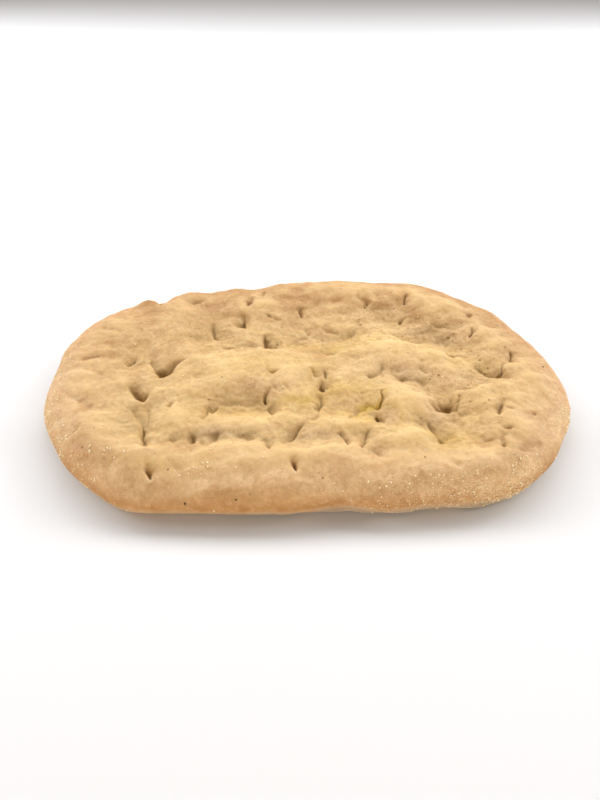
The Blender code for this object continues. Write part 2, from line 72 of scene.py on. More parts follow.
# Finger presses in millimetres. Each runs through points of x, y and depth. Its wall is
# steep within the second radius on the right of the way it runs, and soft within the first.
PRESSES = (
    (5.5, 1.8, ((-107.5, 4.2, 1.2), (-106.2, 4.2, 4.5), (-104.7, 7, 3), (-102.9, 10.3, 1.2))),
    (15, 2, (
        (-93.7, 7.1, 1.8), (-88.6, -2.6, 4.2), (-85.3, -6.7, 6.1), (-84.1, -8, 7.7),
        (-82.6, -6, 6.6), (-79.9, -3.4, 5.6), (-76.2, 0.6, 4.8), (-73, 3.1, 2.6), (-71.3, 6.6, 0.8),
    )),
    (12, 2.4, (
        (-101, -16.6, 2.4), (-98.8, -21.3, 4.3), (-95.3, -25.9, 5.8),
        (-92.6, -27.4, 6.9), (-91.2, -27.5, 5.3), (-89.6, -25.3, 2.8), (-88.1, -21.3, 1),
    )),
    (7, 3.5, ((-94.8, -38, 1.8), (-90.7, -44.3, 2.2), (-86.8, -50.4, 2))),
    (3, 2, ((-87.3, -35.9, 1.3), (-85.3, -43.8, 1.8), (-84.7, -50.7, 1.4))),
    (3.6, 2.4, ((-89.8, -46.4, 1.8), (-87.3, -52.4, 3), (-84.3, -60.7, 4.6), (-82.4, -67, 4.3))),
    (3.2, 1.6, ((-75.1, -35.9, 1.8), (-74.3, -35, 2.8), (-73.4, -31.4, 1.4))),
    (7.5, 2.2, (
        (-79.8, -81.5, 1.4), (-78.4, -84.6, 3.6), (-76.5, -86.3, 4.6), (-74.9, -87, 3.2), (-74.3, -86.6, 1),
    )),
    (8, 6, ((-66.6, -79.7, 1), (-61.8, -82.8, 1.2))),
    (7, 4, ((-132, 4, 1.4), (-126, 8, 1.4))),
    (8, 5, ((-133, -4, 1.1), (-119, -10, 1.1))),
    (9.5, 5, ((-138, -24, 1.2), (-119, -37, 1.4))),
    (5.5, 3, ((-129, -60, 1.3), (-120, -55, 1.3))),
    (5.5, 3, ((-127.8, 35.5, 1.2), (-116.7, 31.8, 1.4))),
    (4.5, 2.6, ((-101.5, 76, 2.2), (-99, 70, 3), (-95, 64, 1.4))),
    (8, 4, ((-78.8, 66, 1.2), (-74.2, 65.1, 2), (-69.1, 68.2, 1.5), (-64.7, 74.4, 0.8))),
    (6, 1.8, ((-38.8, 65.9, 1.3), (-37, 63.3, 3.4), (-35.6, 65.1, 2.4), (-34.4, 71.4, 1))),
    (2.4, 1.6, ((-28.1, 72.8, 1.2), (-26.3, 77.4, 1.6))),
    (2, 1.8, ((-23.5, 52.5, 1.8), (-22.8, 51.4, 1.8))),
    (1.8, 1.4, ((-23.4, 50.8, 0.8), (-15.5, 49.9, 0.8))),
    (5.4, 1.8, ((-2.5, 63.2, 2.4), (-1.5, 56.7, 4.2), (-1.1, 56.2, 3.6), (-0.1, 57.3, 1.2))),
    (8, 2, (
        (-43.5, 43.1, 1.6), (-39.8, 41.6, 3.4), (-38.2, 41.7, 4.8), (-37.9, 45, 4), (-38.6, 51.4, 1.6),
    )),
    (6.5, 1.8, (
        (-59.6, 43.7, 1.4), (-59.6, 38, 3.6), (-58.2, 32.6, 4.3), (-55.6, 30, 2.6), (-53.5, 28.1, 1),
    )),
    (5, 1.5, (
        (-50.3, 18.4, 1.4), (-46.3, 16.7, 2.2), (-42.7, 18.8, 1.5), (-38.2, 21.5, 1), (-30.2, 19.6, 1.1),
    )),
    (9, 1.8, (
        (-25.4, 30.9, 2.4), (-24.7, 23.7, 6.1), (-23.6, 20.2, 7.5),
        (-21.3, 20.3, 5.9), (-18.1, 20.8, 4.2), (-14.8, 25.1, 1.4),
    )),
    (3.4, 2, ((1.7, 39.7, 1.4), (3.3, 36.9, 2))),
    (4, 1.7, ((14.3, 39.9, 1.2), (17.4, 38.2, 2.4), (21.2, 36.9, 1.7))),
    (5, 2.5, ((25.9, 31.7, 1.1), (30.4, 34.9, 1.8), (34.3, 39.6, 1.5), (37.3, 46.4, 1))),
    (6, 2.4, ((11.3, 17.9, 1), (15, 13.3, 2), (17.9, 13, 1.8), (21.1, 15.3, 1))),
    (5.5, 2, ((40.3, 69.8, 1.2), (42.5, 66.6, 3), (43.4, 66.5, 3.4), (44.7, 68.1, 1.8))),
    (1.8, 1.4, ((36.6, 73, 1), (39.9, 68.7, 1.6), (42.1, 64.6, 2))),
    (5.2, 2, ((70, 76.2, 1.8), (69.1, 70.9, 3.4), (69.1, 68.9, 4.2), (69.9, 70, 1.6))),
    (4.6, 1.8, ((62.8, 50.1, 1.3), (64.2, 48.4, 3.6), (65.3, 49.3, 2.4), (68.2, 53, 1))),
    (5.4, 2.2, ((107.3, 49.6, 1.8), (108, 48.9, 3), (110.3, 52.1, 1.7))),
    (4.4, 2, ((107.5, 36.8, 2), (106.2, 31.5, 3.4), (105.6, 29.8, 3.8), (106.1, 31.4, 1.4))),
    (7, 4, ((86.8, 42.5, 1.2), (95.8, 39.2, 1.4), (101.6, 39.6, 1))),
    (10, 2.6, (
        (57.3, 31.6, 1.4), (62.8, 25.8, 2.4), (66.6, 21.6, 4), (70.2, 23.6, 3.4), (76.6, 29.8, 1.4),
    )),
    (6.5, 2, ((86.3, 14.9, 1.3), (88.3, 9.2, 2.8), (89.8, 8.4, 4.3), (93.3, 9.8, 2.4), (99.7, 9.1, 1.2))),
    (6, 2, ((126.3, 11.8, 2), (125, 5.9, 3.2), (124.6, 3.3, 3.6), (126.9, 6.6, 1.2))),
    (11, 2.2, ((100.5, -0.5, 1.8), (104.4, -4.9, 3.2), (107, -9.2, 4.5), (108.1, -10.4, 5.6))),
    (7, 1.8, ((112.7, -10.3, 3.6), (113.4, -10.7, 5.9), (116, -11, 3), (119.5, -13.4, 1))),
    (3, 1.6, ((118.3, 0.6, 1.3), (115.9, -7, 3.4), (114.8, -10.8, 4.6))),
    (2.2, 1.5, ((91.3, -20.5, 1), (94.2, -22.7, 1.6), (98, -19.2, 1.3), (104.6, -16.2, 0.8))),
    (7, 1.9, ((52.6, -8.9, 1.2), (54.7, -12.7, 2.5), (56.6, -13.4, 3.6), (60.5, -12.2, 1.5))),
    (4, 2.4, ((68.8, -5.3, 1), (72.2, -6.8, 1.2))),
    (3, 1.8, ((65.5, -12.5, 1), (68.2, -16, 1.5), (68.9, -22.7, 1))),
    (7, 2, ((35.7, -11.3, 1.3), (37.8, -13.4, 3.2), (40, -13.1, 2.8), (43.2, -8.6, 2.1), (47.4, -2.9, 1))),
    (2.4, 1.6, ((46.7, 0, 1), (45.9, -5, 1.7), (45.2, -10.2, 1.9))),
    (4.4, 2.2, ((4.3, -4.3, 1.4), (5.7, -8, 2.4), (7.6, -10.7, 1.9))),
    (4.6, 1.8, ((11.1, -5.7, 1.4), (12.2, -9.5, 3.4), (12.7, -8.2, 1.4))),
    (7, 1.9, (
        (9.4, -17.1, 2.4), (9.6, -20.6, 4.6), (10, -21.2, 5.1), (11.3, -20.7, 2.8), (14.6, -18.9, 1),
    )),
    (6, 1.9, ((5.8, -35.9, 1.4), (7.8, -38.2, 4.3), (8.9, -34.6, 3.2), (10, -27.9, 1.4))),
    (2.4, 1.6, ((3.3, -46.1, 1), (5.1, -45.9, 1.7), (7.6, -43.7, 1))),
    (5.5, 2, ((40, -45.5, 4.2), (39.7, -45.6, 2.6))),
    (3.2, 1.4, ((44.6, -26.3, 1.6), (43.5, -30.3, 2.4), (42.5, -34.2, 3), (41.5, -36.9, 2.6))),
    (3.4, 1.5, (
        (29.9, -38.5, 0.9), (33.7, -36, 1.3), (37, -36.3, 1.6),
        (40, -37.8, 2.2), (43.2, -37.7, 1.3), (49.1, -40, 0.8),
    )),
    (2.4, 1.8, ((25.6, -45.5, 1.1), (30, -38.4, 1.3))),
    (4, 2.4, ((32.9, -27.1, 1), (36.3, -26.1, 1))),
    (2.2, 1.6, ((85.3, -42.2, 0.9), (90.2, -41.4, 1))),
    (10, 2.2, (
        (69.4, -33.6, 1.4), (73.5, -34.9, 2.2), (76.7, -36.2, 3.4),
        (79.2, -37.1, 5.1), (80.5, -36.2, 4.5), (82.2, -33, 2.4), (84.4, -27.5, 1),
    )),
    (2.6, 1.6, ((84.3, -28.4, 1.2), (83, -33, 2.2), (82.2, -35.8, 2.8))),
    (2.4, 1.6, ((87.7, -27.6, 1.3), (86.2, -32, 1.9), (83.7, -36.7, 2.3))),
    (9, 2.2, (
        (66.2, -48.8, 1.6), (68.1, -53.2, 2.8), (70.2, -59.6, 2.8),
        (70.9, -62.4, 4.8), (71.2, -62.5, 4.6), (73.4, -60.3, 2.6), (79.4, -57.5, 1),
    )),
    (3.2, 1.7, ((17.8, -58.6, 1.3), (20.4, -61.6, 2), (21.8, -65.6, 3))),
    (4.6, 1.3, ((32.8, -56.3, 1.2), (30.7, -61.6, 2.8), (29.2, -68.5, 4.2), (29.9, -66.5, 2.4))),
    (2.6, 1.6, ((29.8, -63.8, 2.2), (32.8, -57.7, 1.4), (35.2, -54.5, 0.8))),
    (6, 3.6, ((35.3, -70.2, 1.1), (38.4, -74, 1.5))),
    (15, 3.6, (
        (-46.9, -33.9, 1.2), (-40.9, -31.8, 1.9), (-34.6, -31, 2.1), (-28.7, -30.7, 1.9), (-23.4, -31.6, 1),
    )),
    (7, 2, (
        (-52.9, -33.7, 1.4), (-51.2, -39.8, 3), (-50.3, -40.7, 3.8), (-49.3, -37.8, 2.8), (-47.8, -33.3, 1),
    )),
    (1.8, 1.4, ((-52.9, -35, 1.5), (-52.8, -40.8, 2.2), (-54.9, -46.4, 1.8))),
    (4.4, 1.8, ((-22.6, -22.6, 2.4), (-22.4, -26.8, 4.8), (-22.4, -28.6, 4.5))),
    (6, 2, ((-19.9, -35.9, 1.4), (-17.4, -39.3, 3.8), (-15.6, -38.2, 1.4))),
    (3.2, 1.6, ((-20, -6.7, 1.1), (-17.9, -8.2, 2.3), (-15.4, -7.9, 1.1))),
    (2.4, 1.6, ((-12.6, -18.6, 0.7), (-10.1, -20.8, 1.2), (-8.2, -24.4, 0.9))),
    (2.4, 1.6, ((-16.5, -19.7, 0.7), (-14.1, -22.5, 1))),
    (4.4, 1.8, ((-70.3, -62.3, 1.2), (-68.6, -63.3, 2), (-66.5, -62, 1))),
    (6.5, 1.8, ((-61.1, -61.8, 1.6), (-59.3, -62.8, 3), (-58.5, -62.6, 3.4), (-57.7, -59.6, 1.6))),
    (5.5, 1.7, (
        (-53.9, -64.1, 1.1), (-50.7, -66.7, 1.7), (-49.4, -66.6, 1.9),
        (-47.8, -61.9, 1.7), (-45.5, -59.8, 1.3), (-44.4, -58.2, 0.6),
    )),
    (5.5, 1.8, ((-35, -59.7, 0.9), (-31.6, -60.6, 1.6), (-29, -62, 2.2), (-26.6, -62.3, 1))),
    (6.5, 2, (
        (-21.3, -63.5, 1.3), (-19.1, -68, 3.2),
        (-18.4, -68.4, 3.8), (-17.4, -67.5, 2.4), (-15.2, -62.3, 0.9),
    )),
    (5.5, 1.8, (
        (-10.7, -64.9, 1.7), (-7.7, -60.8, 2.8), (-4.6, -56.4, 2.8), (-2.5, -52.2, 2.4), (-0.8, -50, 1),
    )),
    (6.5, 2, ((-6.2, -77, 2), (-5.7, -81, 4.2), (-4.6, -83, 4.3), (-3.7, -82.6, 1.8))),
    (4.6, 1.9, (
        (106.2, -42.5, 2.2), (105.9, -42.9, 4.3), (106.7, -40.1, 3.6), (109, -35.8, 2), (111.5, -32.9, 1),
    )),
    (6.5, 2.2, ((100.9, -64.1, 1.8), (101.5, -68.2, 4), (102.8, -66.3, 2.4), (104.9, -60.5, 1.1))),
    (3, 2, ((106.3, -54.1, 1.1), (109.3, -54.7, 1.5))),
    (5, 3, ((93.5, -61.3, 1), (94.7, -63.5, 1.7))),
    (3, 2, ((123.8, -42.1, 1.1), (125.6, -42.8, 1.8))),
    (2, 1.4, ((110.9, -40.5, 1), (113.7, -40.4, 1.2))),
    (8, 5, ((103, -69.5, 0.8), (108.1, -71, 1.6), (115.3, -69.1, 1.8), (120.9, -64.4, 1))),
    (6, 4, ((71.7, -79.2, 1), (75, -80.2, 1.6))),
)

# Puffs between the presses, in millimetres: x, y, half length, half width, turn, and height.
PUFFS = (
    (-50, 1, 28, 21, 8, 6.0), (-7, -4, 16, 19, 0, 5.2), (29, -18, 17, 18, 10, 5.0),
    (74, 2, 29, 17, -14, 5.2), (42, 16, 27, 13, -2, 3.0), (57, -32, 15, 15, 0, 5.6),
    (54, -61, 15, 10, 0, 5.0), (96, -26, 14, 13, 0, 4.0), (20, -50, 18, 8, 0, 3.8),
    (-34, -49, 22, 9, 5, 4.4), (-70, -46, 16, 12, 0, 3.8), (-68, -22, 14, 11, 0, 3.2),
    (-40, -74, 30, 9, 0, 3.2), (8, -74, 22, 9, 0, 3.4), (-92, -74, 14, 10, -20, 2.6),
    (100, -76, 20, 10, 12, 3.6), (60, -80, 22, 9, 0, 2.4), (-120, -20, 14, 26, 0, 1.4),
    (132, -22, 12, 22, 0, 1.6), (-105, 71, 8, 6, 25, 5.2), (-73, 81, 12, 7, 15, 2.2),
    (-62, 84, 7, 6, 0, 1.8), (-46, 86, 8, 6, 0, 2.4), (20, 82, 40, 12, 0, 1.6),
    (90, 64, 22, 12, -30, 2.2), (-78, 44, 20, 14, 10, 3.2), (-30, 62, 18, 10, 0, 2.2),
    (12, 28, 26, 13, 0, -3.0), (94, 24, 22, 9, -25, -2.6), (-118, 40, 18, 12, 40, 1.2),
    (118, 20, 10, 12, 0, 1.6), (-84, -30, 8, 22, 0, -1.4),
)

# Fine cracks in the skin, in millimetres, in the same way as the presses.
CRACKS = (
    (1.1, 0.8, ((44.9, -24.4, 0.5), (43.2, -30.3, 1), (41.6, -36.3, 1.2), (40.9, -37.8, 0.6))),
    (1.1, 0.8, (
        (31.7, -38.6, 0.6), (35.6, -37.6, 1), (39.8, -38.9, 1), (44.5, -39.5, 0.6), (49.1, -42, 0.3),
    )),
    (1, 0.8, ((26.6, -47.1, 0.4), (29.3, -41.1, 0.9), (31.7, -38.6, 0.5))),
    (1, 0.8, ((-54, -34, 0.6), (-53.5, -40.6, 1), (-55.4, -46.9, 0.5))),
    (0.9, 0.8, ((89.9, -22.2, 0.3), (93.3, -25.8, 0.8), (96.7, -22.8, 0.8), (102.2, -19, 0.3))),
    (0.9, 0.8, ((83.6, -35.7, 0.4), (85, -40.2, 0.8), (88.5, -43.8, 0.4))),
    (0.9, 0.8, ((52.7, -43.4, 0.4), (51.8, -47.3, 0.8), (52.5, -50.1, 0.3))),
    (0.9, 0.8, ((65.5, -14.1, 0.4), (67.3, -17.5, 0.8), (67.2, -25, 0.4))),
    (0.9, 0.8, ((35.8, 72.4, 0.4), (39, 68.1, 0.8), (41.6, 63.5, 0.5))),
    (0.9, 0.8, ((-36.5, 52.2, 0.4), (-35.8, 45.8, 0.8), (-35.8, 39.1, 0.5))),
    (0.9, 0.8, ((-23.5, 49.8, 0.5), (-19.6, 49, 0.6), (-14.3, 48.5, 0.3))),
    (0.9, 0.7, ((20.3, -70.9, 0.3), (20.4, -76.8, 0.5))),
    (0.9, 0.7, ((-18.1, -71.2, 0.3), (-16.5, -75, 0.5))),
    (0.9, 0.7, ((119.7, -15, 0.7), (123.3, -17.6, 0.4))),
    (0.9, 0.7, ((-59.3, -71.4, 0.5), (-57.1, -72.3, 0.3))),
    (0.9, 0.7, ((-81.1, -9.4, 0.3), (-75.7, -5.4, 0.6), (-68.1, 0.3, 0.4), (-63.9, 1.5, 0.3))),
    (0.9, 0.7, ((82.4, 9.5, 0.4), (90.6, 26.7, 0.6), (93.4, 29.3, 0.3))),
    (0.9, 0.7, ((-2.5, 32.4, 0.3), (4.6, 34.2, 0.5), (11.7, 31.4, 0.4))),
)

# Wrinkles that run into the deep presses: x, y and reach in millimetres, number and depth.
WRINKLES = (
    (109.2, -11.8, 16, 17, 0.5), (79.9, -38.1, 15, 15, 0.45), (-84, -9.4, 14, 13, 0.22),
    (-21.8, 20.1, 11, 13, 0.28), (70.2, -63.4, 11, 11, 0.26), (-94.2, -28.7, 11, 9, 0.22),
    (89.5, 7.3, 12, 13, 0.3), (-59.5, 33.5, 8, 9, 0.2), (8.9, -22.4, 8, 9, 0.2),
    (101.2, -67.3, 9, 11, 0.24), (-37.6, 41.4, 10, 11, 0.22), (38.4, -15.2, 9, 9, 0.18),
    (64.1, 46.7, 9, 9, 0.22), (125.1, 4.2, 9, 9, 0.2), (69.2, 69.3, 8, 9, 0.18),
    (43.7, 65.2, 9, 9, 0.2), (-50.1, -40.2, 7, 9, 0.18), (68.7, 22, 12, 11, 0.2),
    (-105.8, 3.1, 8, 9, 0.2), (107.4, -42.6, 8, 9, 0.18), (105.4, 30.4, 8, 9, 0.16),
)

# The tables from here to BRANNED are soft oval patches on the plan: x, y, half length and half
# width in millimetres, turn in degrees, and strength. First, where the crust is browner.
TOASTED = (
    (-104, 63, 26, 13, 34, 0.75), (-70, 67, 30, 14, 16, 0.75), (-28, 72, 30, 15, 6, 1.2),
    (13, 80, 36, 14, 0, 1.1), (55, 81, 30, 13, -4, 0.95), (88, 66, 30, 14, -18, 1.4),
    (113, 54, 24, 12, -34, 0.75), (128, 33, 18, 12, -44, 0.4), (-122, 27, 18, 14, 40, 0.6),
    (-127, -1, 16, 18, 60, 0.75), (-77, 43, 24, 16, 0, 0.5), (-75, 16, 22, 12, 0, 0.45),
    (-32, 53, 26, 10, 0, 0.35), (4, 57, 20, 10, 0, 0.3), (83, 53, 26, 10, -10, 0.3),
    (-2, 19, 22, 8, 0, 0.15), (141, 19, 14, 14, -50, 0.3), (129, -52, 8, 14, 0, 0.35),
    (115, -70, 12, 10, 30, 0.8), (102, -68, 14, 8, 10, 0.35), (89, -70, 16, 7, 0, 0.4),
    (-98, -70, 20, 9, -20, 0.65), (-84, -70, 12, 7, 0, 0.35), (-61, -68, 22, 6, 0, 0.3),
    (8, -72, 24, 6, 0, 0.25), (-28, -73, 20, 6, 0, 0.12), (-139, -33, 8, 24, 0, 0.15),
    (147, -23, 8, 24, 0, 0.1), (-98, -89, 10, 7, -30, 0.1), (-40, -92, 14, 6, 0, 0.35),
    (-44, -86, 10, 5, 20, 0.3), (5, -84, 12, 6, 0, 0.3), (49, -89, 12, 7, 0, 0.3),
    (66, -92, 26, 5, 0, 0.3), (-85, -95, 14, 5, 0, 0.3), (9, 11, 22, 10, 0, 0.25),
    (114, 30, 14, 12, -30, 0.35), (124, -5, 16, 12, 0, 0.35), (133, -12, 10, 12, 0, 0.4),
    (-98, -6, 20, 10, 0, 0.15), (-52, -35, 12, 9, 0, 0.35), (93, 2, 10, 8, 0, 0.2),
    (70, 11, 18, 8, 0, 0.35), (-32, 2, 20, 8, 0, 0.12), (114, -70, 12, 6, 30, 0.3),
    (44, 77, 30, 10, 0, 0.6), (77, 80, 16, 8, -10, 0.6), (-98, -73, 16, 8, -20, 0.2),
    (-48, -73, 12, 5, 0, 0.2), (111, -40, 10, 8, 0, 0.3), (-122, 32, 12, 10, 40, 0.3),
    (40, 85, 18, 7, 0, 1.2), (76, 86, 18, 7, 0, 1.2), (92, 66, 16, 7, 25, 1.2),
    (109, 51, 14, 8, 30, 0.5), (-125, -54, 14, 26, 0, 0.3), (-80, -75, 34, 9, 0, 0.3),
    (106, -66, 10, 10, 0, 0.5), (133, -12, 9, 7, 0, 0.5), (118, -74, 8, 10, 0, 0.4),
    (-39, 16, 30, 8, 0, 0.2), (-2, 15, 24, 8, 0, 0.2), (64, 30, 16, 8, 0, 0.2),
    (-117, -40, 10, 12, 0, 0.4), (-133, -12, 10, 10, 0, 0.3), (-74, -68, 14, 6, 0, 0.3),
    (-23, -70, 20, 5, 0, 0.25), (92, -67, 16, 5, 0, 0.2),
)

# Where the crust is paler.
PALED = (
    (-91, -87, 13, 7, -20, 0.95), (-75, -92, 14, 5, 0, 0.5), (-60, -91, 15, 5, 0, 0.85),
    (-51, -88, 16, 7, 0, 0.35), (-27, -84, 20, 8, 0, 0.9), (-10, -90, 12, 7, 0, 0.5),
    (8, -92, 16, 5, 0, 0.6), (20, -85, 16, 7, 0, 0.45), (44, -85, 20, 8, 0, 0.4),
    (85, -85, 22, 9, 8, 1), (64, -86, 14, 7, 0, 0.6), (100, -85, 12, 8, 34, 0.6),
    (-104, -81, 8, 6, -40, 0.3), (143, -33, 8, 26, 0, 0.6), (135, -54, 8, 12, 0, 0.6),
    (-138, -31, 12, 28, 0, 0.55), (-129, -56, 10, 14, 0, 0.5), (-17, -16, 14, 6, 0, 0.5),
    (131, -48, 10, 14, 0, 0.4), (124, -71, 8, 10, 0, 0.5), (-131, -18, 12, 14, 0, 0.3),
    (69, -41, 6, 9, 0, 0.7), (-48, -57, 9, 5, 0, 0.6), (-28, -17, 16, 6, 0, 0.5),
    (5, -57, 12, 5, 0, 0.45), (119, -75, 9, 8, 30, 0.45), (122, -55, 10, 10, 0, 0.3),
    (85, -42, 10, 8, 0, 0.35), (89, 41, 18, 8, 0, 0.8), (58, -10, 18, 6, 0, 0.5),
    (93, 33, 20, 8, 0, 0.5), (55, -2, 18, 8, 0, 0.5), (-49, -57, 14, 5, 0, 0.7),
    (9, -58, 16, 5, 0, 0.5), (46, -41, 8, 8, 0, 0.4), (70, -37, 7, 9, 0, 0.5), (65, -10, 12, 5, 0, 0.4),
    (45, -44, 8, 7, 0, 0.4), (28, -31, 9, 6, 0, 0.4), (5, 34, 16, 6, 0, 0.5), (-19, 61, 16, 8, 0, 0.25),
    (63, -1, 8, 6, 0, 0.4), (88, -12, 14, 8, 0, 0.35), (71, -47, 14, 8, 0, 0.35),
    (81, -83, 16, 7, 8, 0.5), (65, -84, 16, 6, 0, 0.4), (27, -84, 16, 8, 0, 0.3),
    (91, -85, 14, 8, 20, 0.4), (-83, -90, 12, 5, 0, 0.4), (22, -90, 16, 5, 0, 0.35),
    (-55, 63, 18, 8, 0, 0.3), (55, 64, 14, 8, 0, 0.35), (14, -82, 12, 7, 0, 0.7),
    (-23, -85, 16, 6, 0, 0.4), (74, -85, 30, 9, 8, 0.8), (-83, -87, 10, 6, 0, 0.4),
)

# Where it is buttery yellow.
GOLDEN = (
    (-30, 6, 26, 8, 0, 0.75), (-8, 27, 18, 8, 0, 0.55), (21, 21, 20, 9, 0, 0.8), (7, 4, 16, 8, 0, 0.5),
    (23, -21, 22, 7, 0, 0.9), (-2, -30, 24, 6, 0, 0.9), (-27, -8, 14, 6, 0, 0.6),
    (34, -36, 14, 7, 0, 0.8), (37, -44, 24, 7, 0, 0.7), (72, -60, 22, 9, -10, 0.7),
    (82, -44, 20, 9, 0, 0.5), (13, -54, 30, 7, 0, 0.5), (-38, -40, 34, 6, 0, 0.8),
    (-71, -52, 18, 7, 0, 0.5), (-62, 23, 20, 9, 0, 0.4), (54, 27, 22, 9, -10, 0.6),
    (76, 8, 24, 9, -15, 0.55), (100, 3, 16, 7, -20, 0.5), (58, -36, 26, 9, 0, 0.35),
    (-10, -97, 34, 6, 0, 0.35), (-64, -27, 14, 8, 0, 0.3), (-55, -9, 30, 10, 0, 0.25),
    (107, -29, 16, 10, 0, 0.3), (81, -66, 24, 8, 0, 0.35),
)

# Where it is greenish and darker, in and round the presses: partly the crust's own tone, partly painted
# shade.
OLIVE_AND_SHADE = (
    (-83, -1, 12, 11, 20, 0.45), (-97, -22, 10, 9, -40, 0.5), (-91, -44, 8, 10, 0, 0.55),
    (-86, -57, 4, 12, 10, 0.4), (-51, -36, 8, 7, 0, 0.6), (-36, -29, 22, 6, 0, 0.4),
    (-23, -27, 5, 9, 0, 0.3), (-18, -34, 7, 6, 0, 0.45), (5, -7, 6, 8, 0, 0.6), (12, -8, 6, 6, 0, 0.4),
    (10, -19, 8, 7, 0, 0.4), (9, -34, 6, 8, 20, 0.4), (18, 17, 11, 6, 0, 0.5), (32, 36, 9, 6, 20, 0.4),
    (39, -11, 11, 8, 0, 0.5), (43, -32, 6, 10, 0, 0.5), (57, -12, 9, 6, 0, 0.4),
    (68, 30, 14, 9, -8, 0.5), (92, 39, 16, 7, 0, 0.45), (93, 19, 9, 8, 0, 0.55),
    (110, -4, 14, 12, 0, 0.5), (81, -33, 13, 11, 0, 0.35), (84, -36, 7, 6, 0, 0.3),
    (71, -59, 12, 11, -20, 0.5), (67, -53, 7, 5, -30, 0.4), (108, -39, 5, 8, -10, 0.4),
    (103, -63, 7, 9, 0, 0.45), (108, -56, 6, 3, 0, 0.4), (-21, 28, 13, 9, 0, 0.5),
    (-40, 46, 10, 7, 0, 0.4), (-59, 38, 8, 9, 0, 0.4), (-2, 61, 6, 6, 0, 0.35), (42, 68, 8, 8, 0, 0.3),
    (-22, 52, 9, 4, 0, 0.3), (-60, -59, 8, 6, 0, 0.3), (-46, -61, 8, 4, 20, 0.1),
    (-30, -59, 9, 5, 0, 0.3), (-18, -64, 8, 5, 0, 0.35), (-5, -58, 8, 6, 40, 0.35),
    (21, -63, 6, 5, -40, 0.3), (-77, -85, 9, 7, -30, 0.35), (-69, -82, 16, 7, 0, 0.3),
    (70, -14, 9, 8, 0, 0.3), (97, -22, 12, 4, 10, 0.35), (64, -40, 9, 7, 0, 0.2),
    (-56, -48, 12, 6, 0, 0.2), (11, 41, 30, 8, 0, 0.22), (71, 53, 30, 9, 0, 0.25),
    (-51, 33, 14, 6, 0, 0.25),
)

# Where oil has soaked in.
OILED = (
    (29, -42, 4.5, 1.3, 48, 0.55), (34, -36, 5, 2.4, 0, 0.7), (38, -37, 5, 1.4, -4, 0.6),
    (42, -34, 1.6, 5, -10, 0.5), (45, -27, 1.4, 4, -15, 0.35), (23, -21, 10, 3, 0, 0.22),
    (-1, -30, 11, 2.2, 0, 0.3), (21, 20, 6, 2.5, 0, 0.25), (5, -7, 3, 4, 0, 0.25),
    (71, -59, 8, 3, 0, 0.25), (52, -47, 1.2, 4, -20, 0.35), (63, -42, 5, 2, 0, 0.15),
)

# Where semolina lies.
FLOURED = (
    (90, -91, 30, 8, 10, 0.7), (112, -83, 14, 6, 35, 0.65), (50, -93, 20, 7, 0, 0.4),
    (136, -54, 8, 16, 0, 0.25), (147, -38, 3, 6, 0, 3.0), (-134, -58, 12, 20, 30, 0.5),
    (-112, -78, 14, 9, -36, 0.25), (-94, -70, 7, 5, 0, 0.35), (-55, -84, 6, 4, 0, 0.4),
    (-145, -18, 7, 34, 0, 0.5), (-30, -86, 60, 10, 0, 0.03), (0, 0, 150, 100, 0, 0.012),
)

# Where small brown dabs show.
DABBED = (
    (94, 34, 44, 44, 0, 0.9), (82, -20, 40, 26, 0, 0.7), (-40, 40, 90, 36, 0, 0.5),
    (0, 0, 140, 90, 0, 0.3),
)

# Where bran flecks are strewn.
BRANNED = (
    (0, 0, 150, 100, 0, 0.5), (94, 30, 40, 40, 0, 0.8), (80, -24, 30, 26, 0, 0.8),
    (-50, 40, 60, 30, 0, 0.3),
)

# Bran flecks that show on their own, in millimetres: x, y and length.
LONE_FLECKS = (
    (-47.4, -14.6, 1.2), (-53.4, -30.3, 1.1), (-5.4, 2.1, 1), (-34.7, -6.7, 0.8), (14.7, 49.9, 0.9),
    (12, 31.8, 1), (47, 53.7, 0.8), (51.3, 75.7, 0.9), (-73.7, 41.7, 1), (-81.4, 42.4, 0.9),
    (-80.9, 34.3, 0.9), (-92.8, 59.9, 1), (61.4, 64, 1.3), (142.1, -1.7, 1.4), (123.8, 16.4, 1),
    (114.8, 14.6, 0.8), (73.4, -11.8, 1.2), (83.9, -14.3, 0.8), (74.7, -5.3, 0.7), (57.6, 67.4, 0.9),
    (101.9, -34, 1.3), (99.8, -39.6, 0.8), (105.1, -75.3, 0.9), (-58.3, -97.5, 1.7), (-33.4, -96.8, 1.3),
    (-67.6, -83, 1.1), (6.9, -85.3, 0.9), (8.8, -87.5, 1), (60, -76.5, 0.9), (83, -90.1, 0.9),
    (-114.6, -67, 1.6), (-97, -61.8, 0.8), (-110.6, -56, 0.8), (-38.1, -16.7, 0.7), (-60, -16.4, 0.7),
    (-99.9, -80.5, 0.9), (25.6, 19.4, 0.8), (-23.6, 51.5, 0.9), (99.3, 37.2, 0.8), (142, -29.6, 0.8),
    (-9.6, 0.3, 0.6), (-82.6, -46.7, 0.7), (71.7, 62.8, 0.9), (77.5, 56.9, 0.7), (89.4, 48.3, 0.8),
)


def smooth_step(share: np.ndarray) -> np.ndarray:
    """0 below 0, 1 above 1, and a smooth rise between."""
    share = np.clip(share, 0.0, 1.0)
    return share * share * (3 - 2 * share)


@dataclass(frozen=True)
class Rise:
    """A smooth rise from 0 to 1, over a stretch that starts and ends at these millimetres."""

    start: float
    end: float

    def at(self, distance: np.ndarray) -> np.ndarray:
        """How far it has risen at each distance, in metres."""
        return smooth_step((distance - self.start * MM) / ((self.end - self.start) * MM))


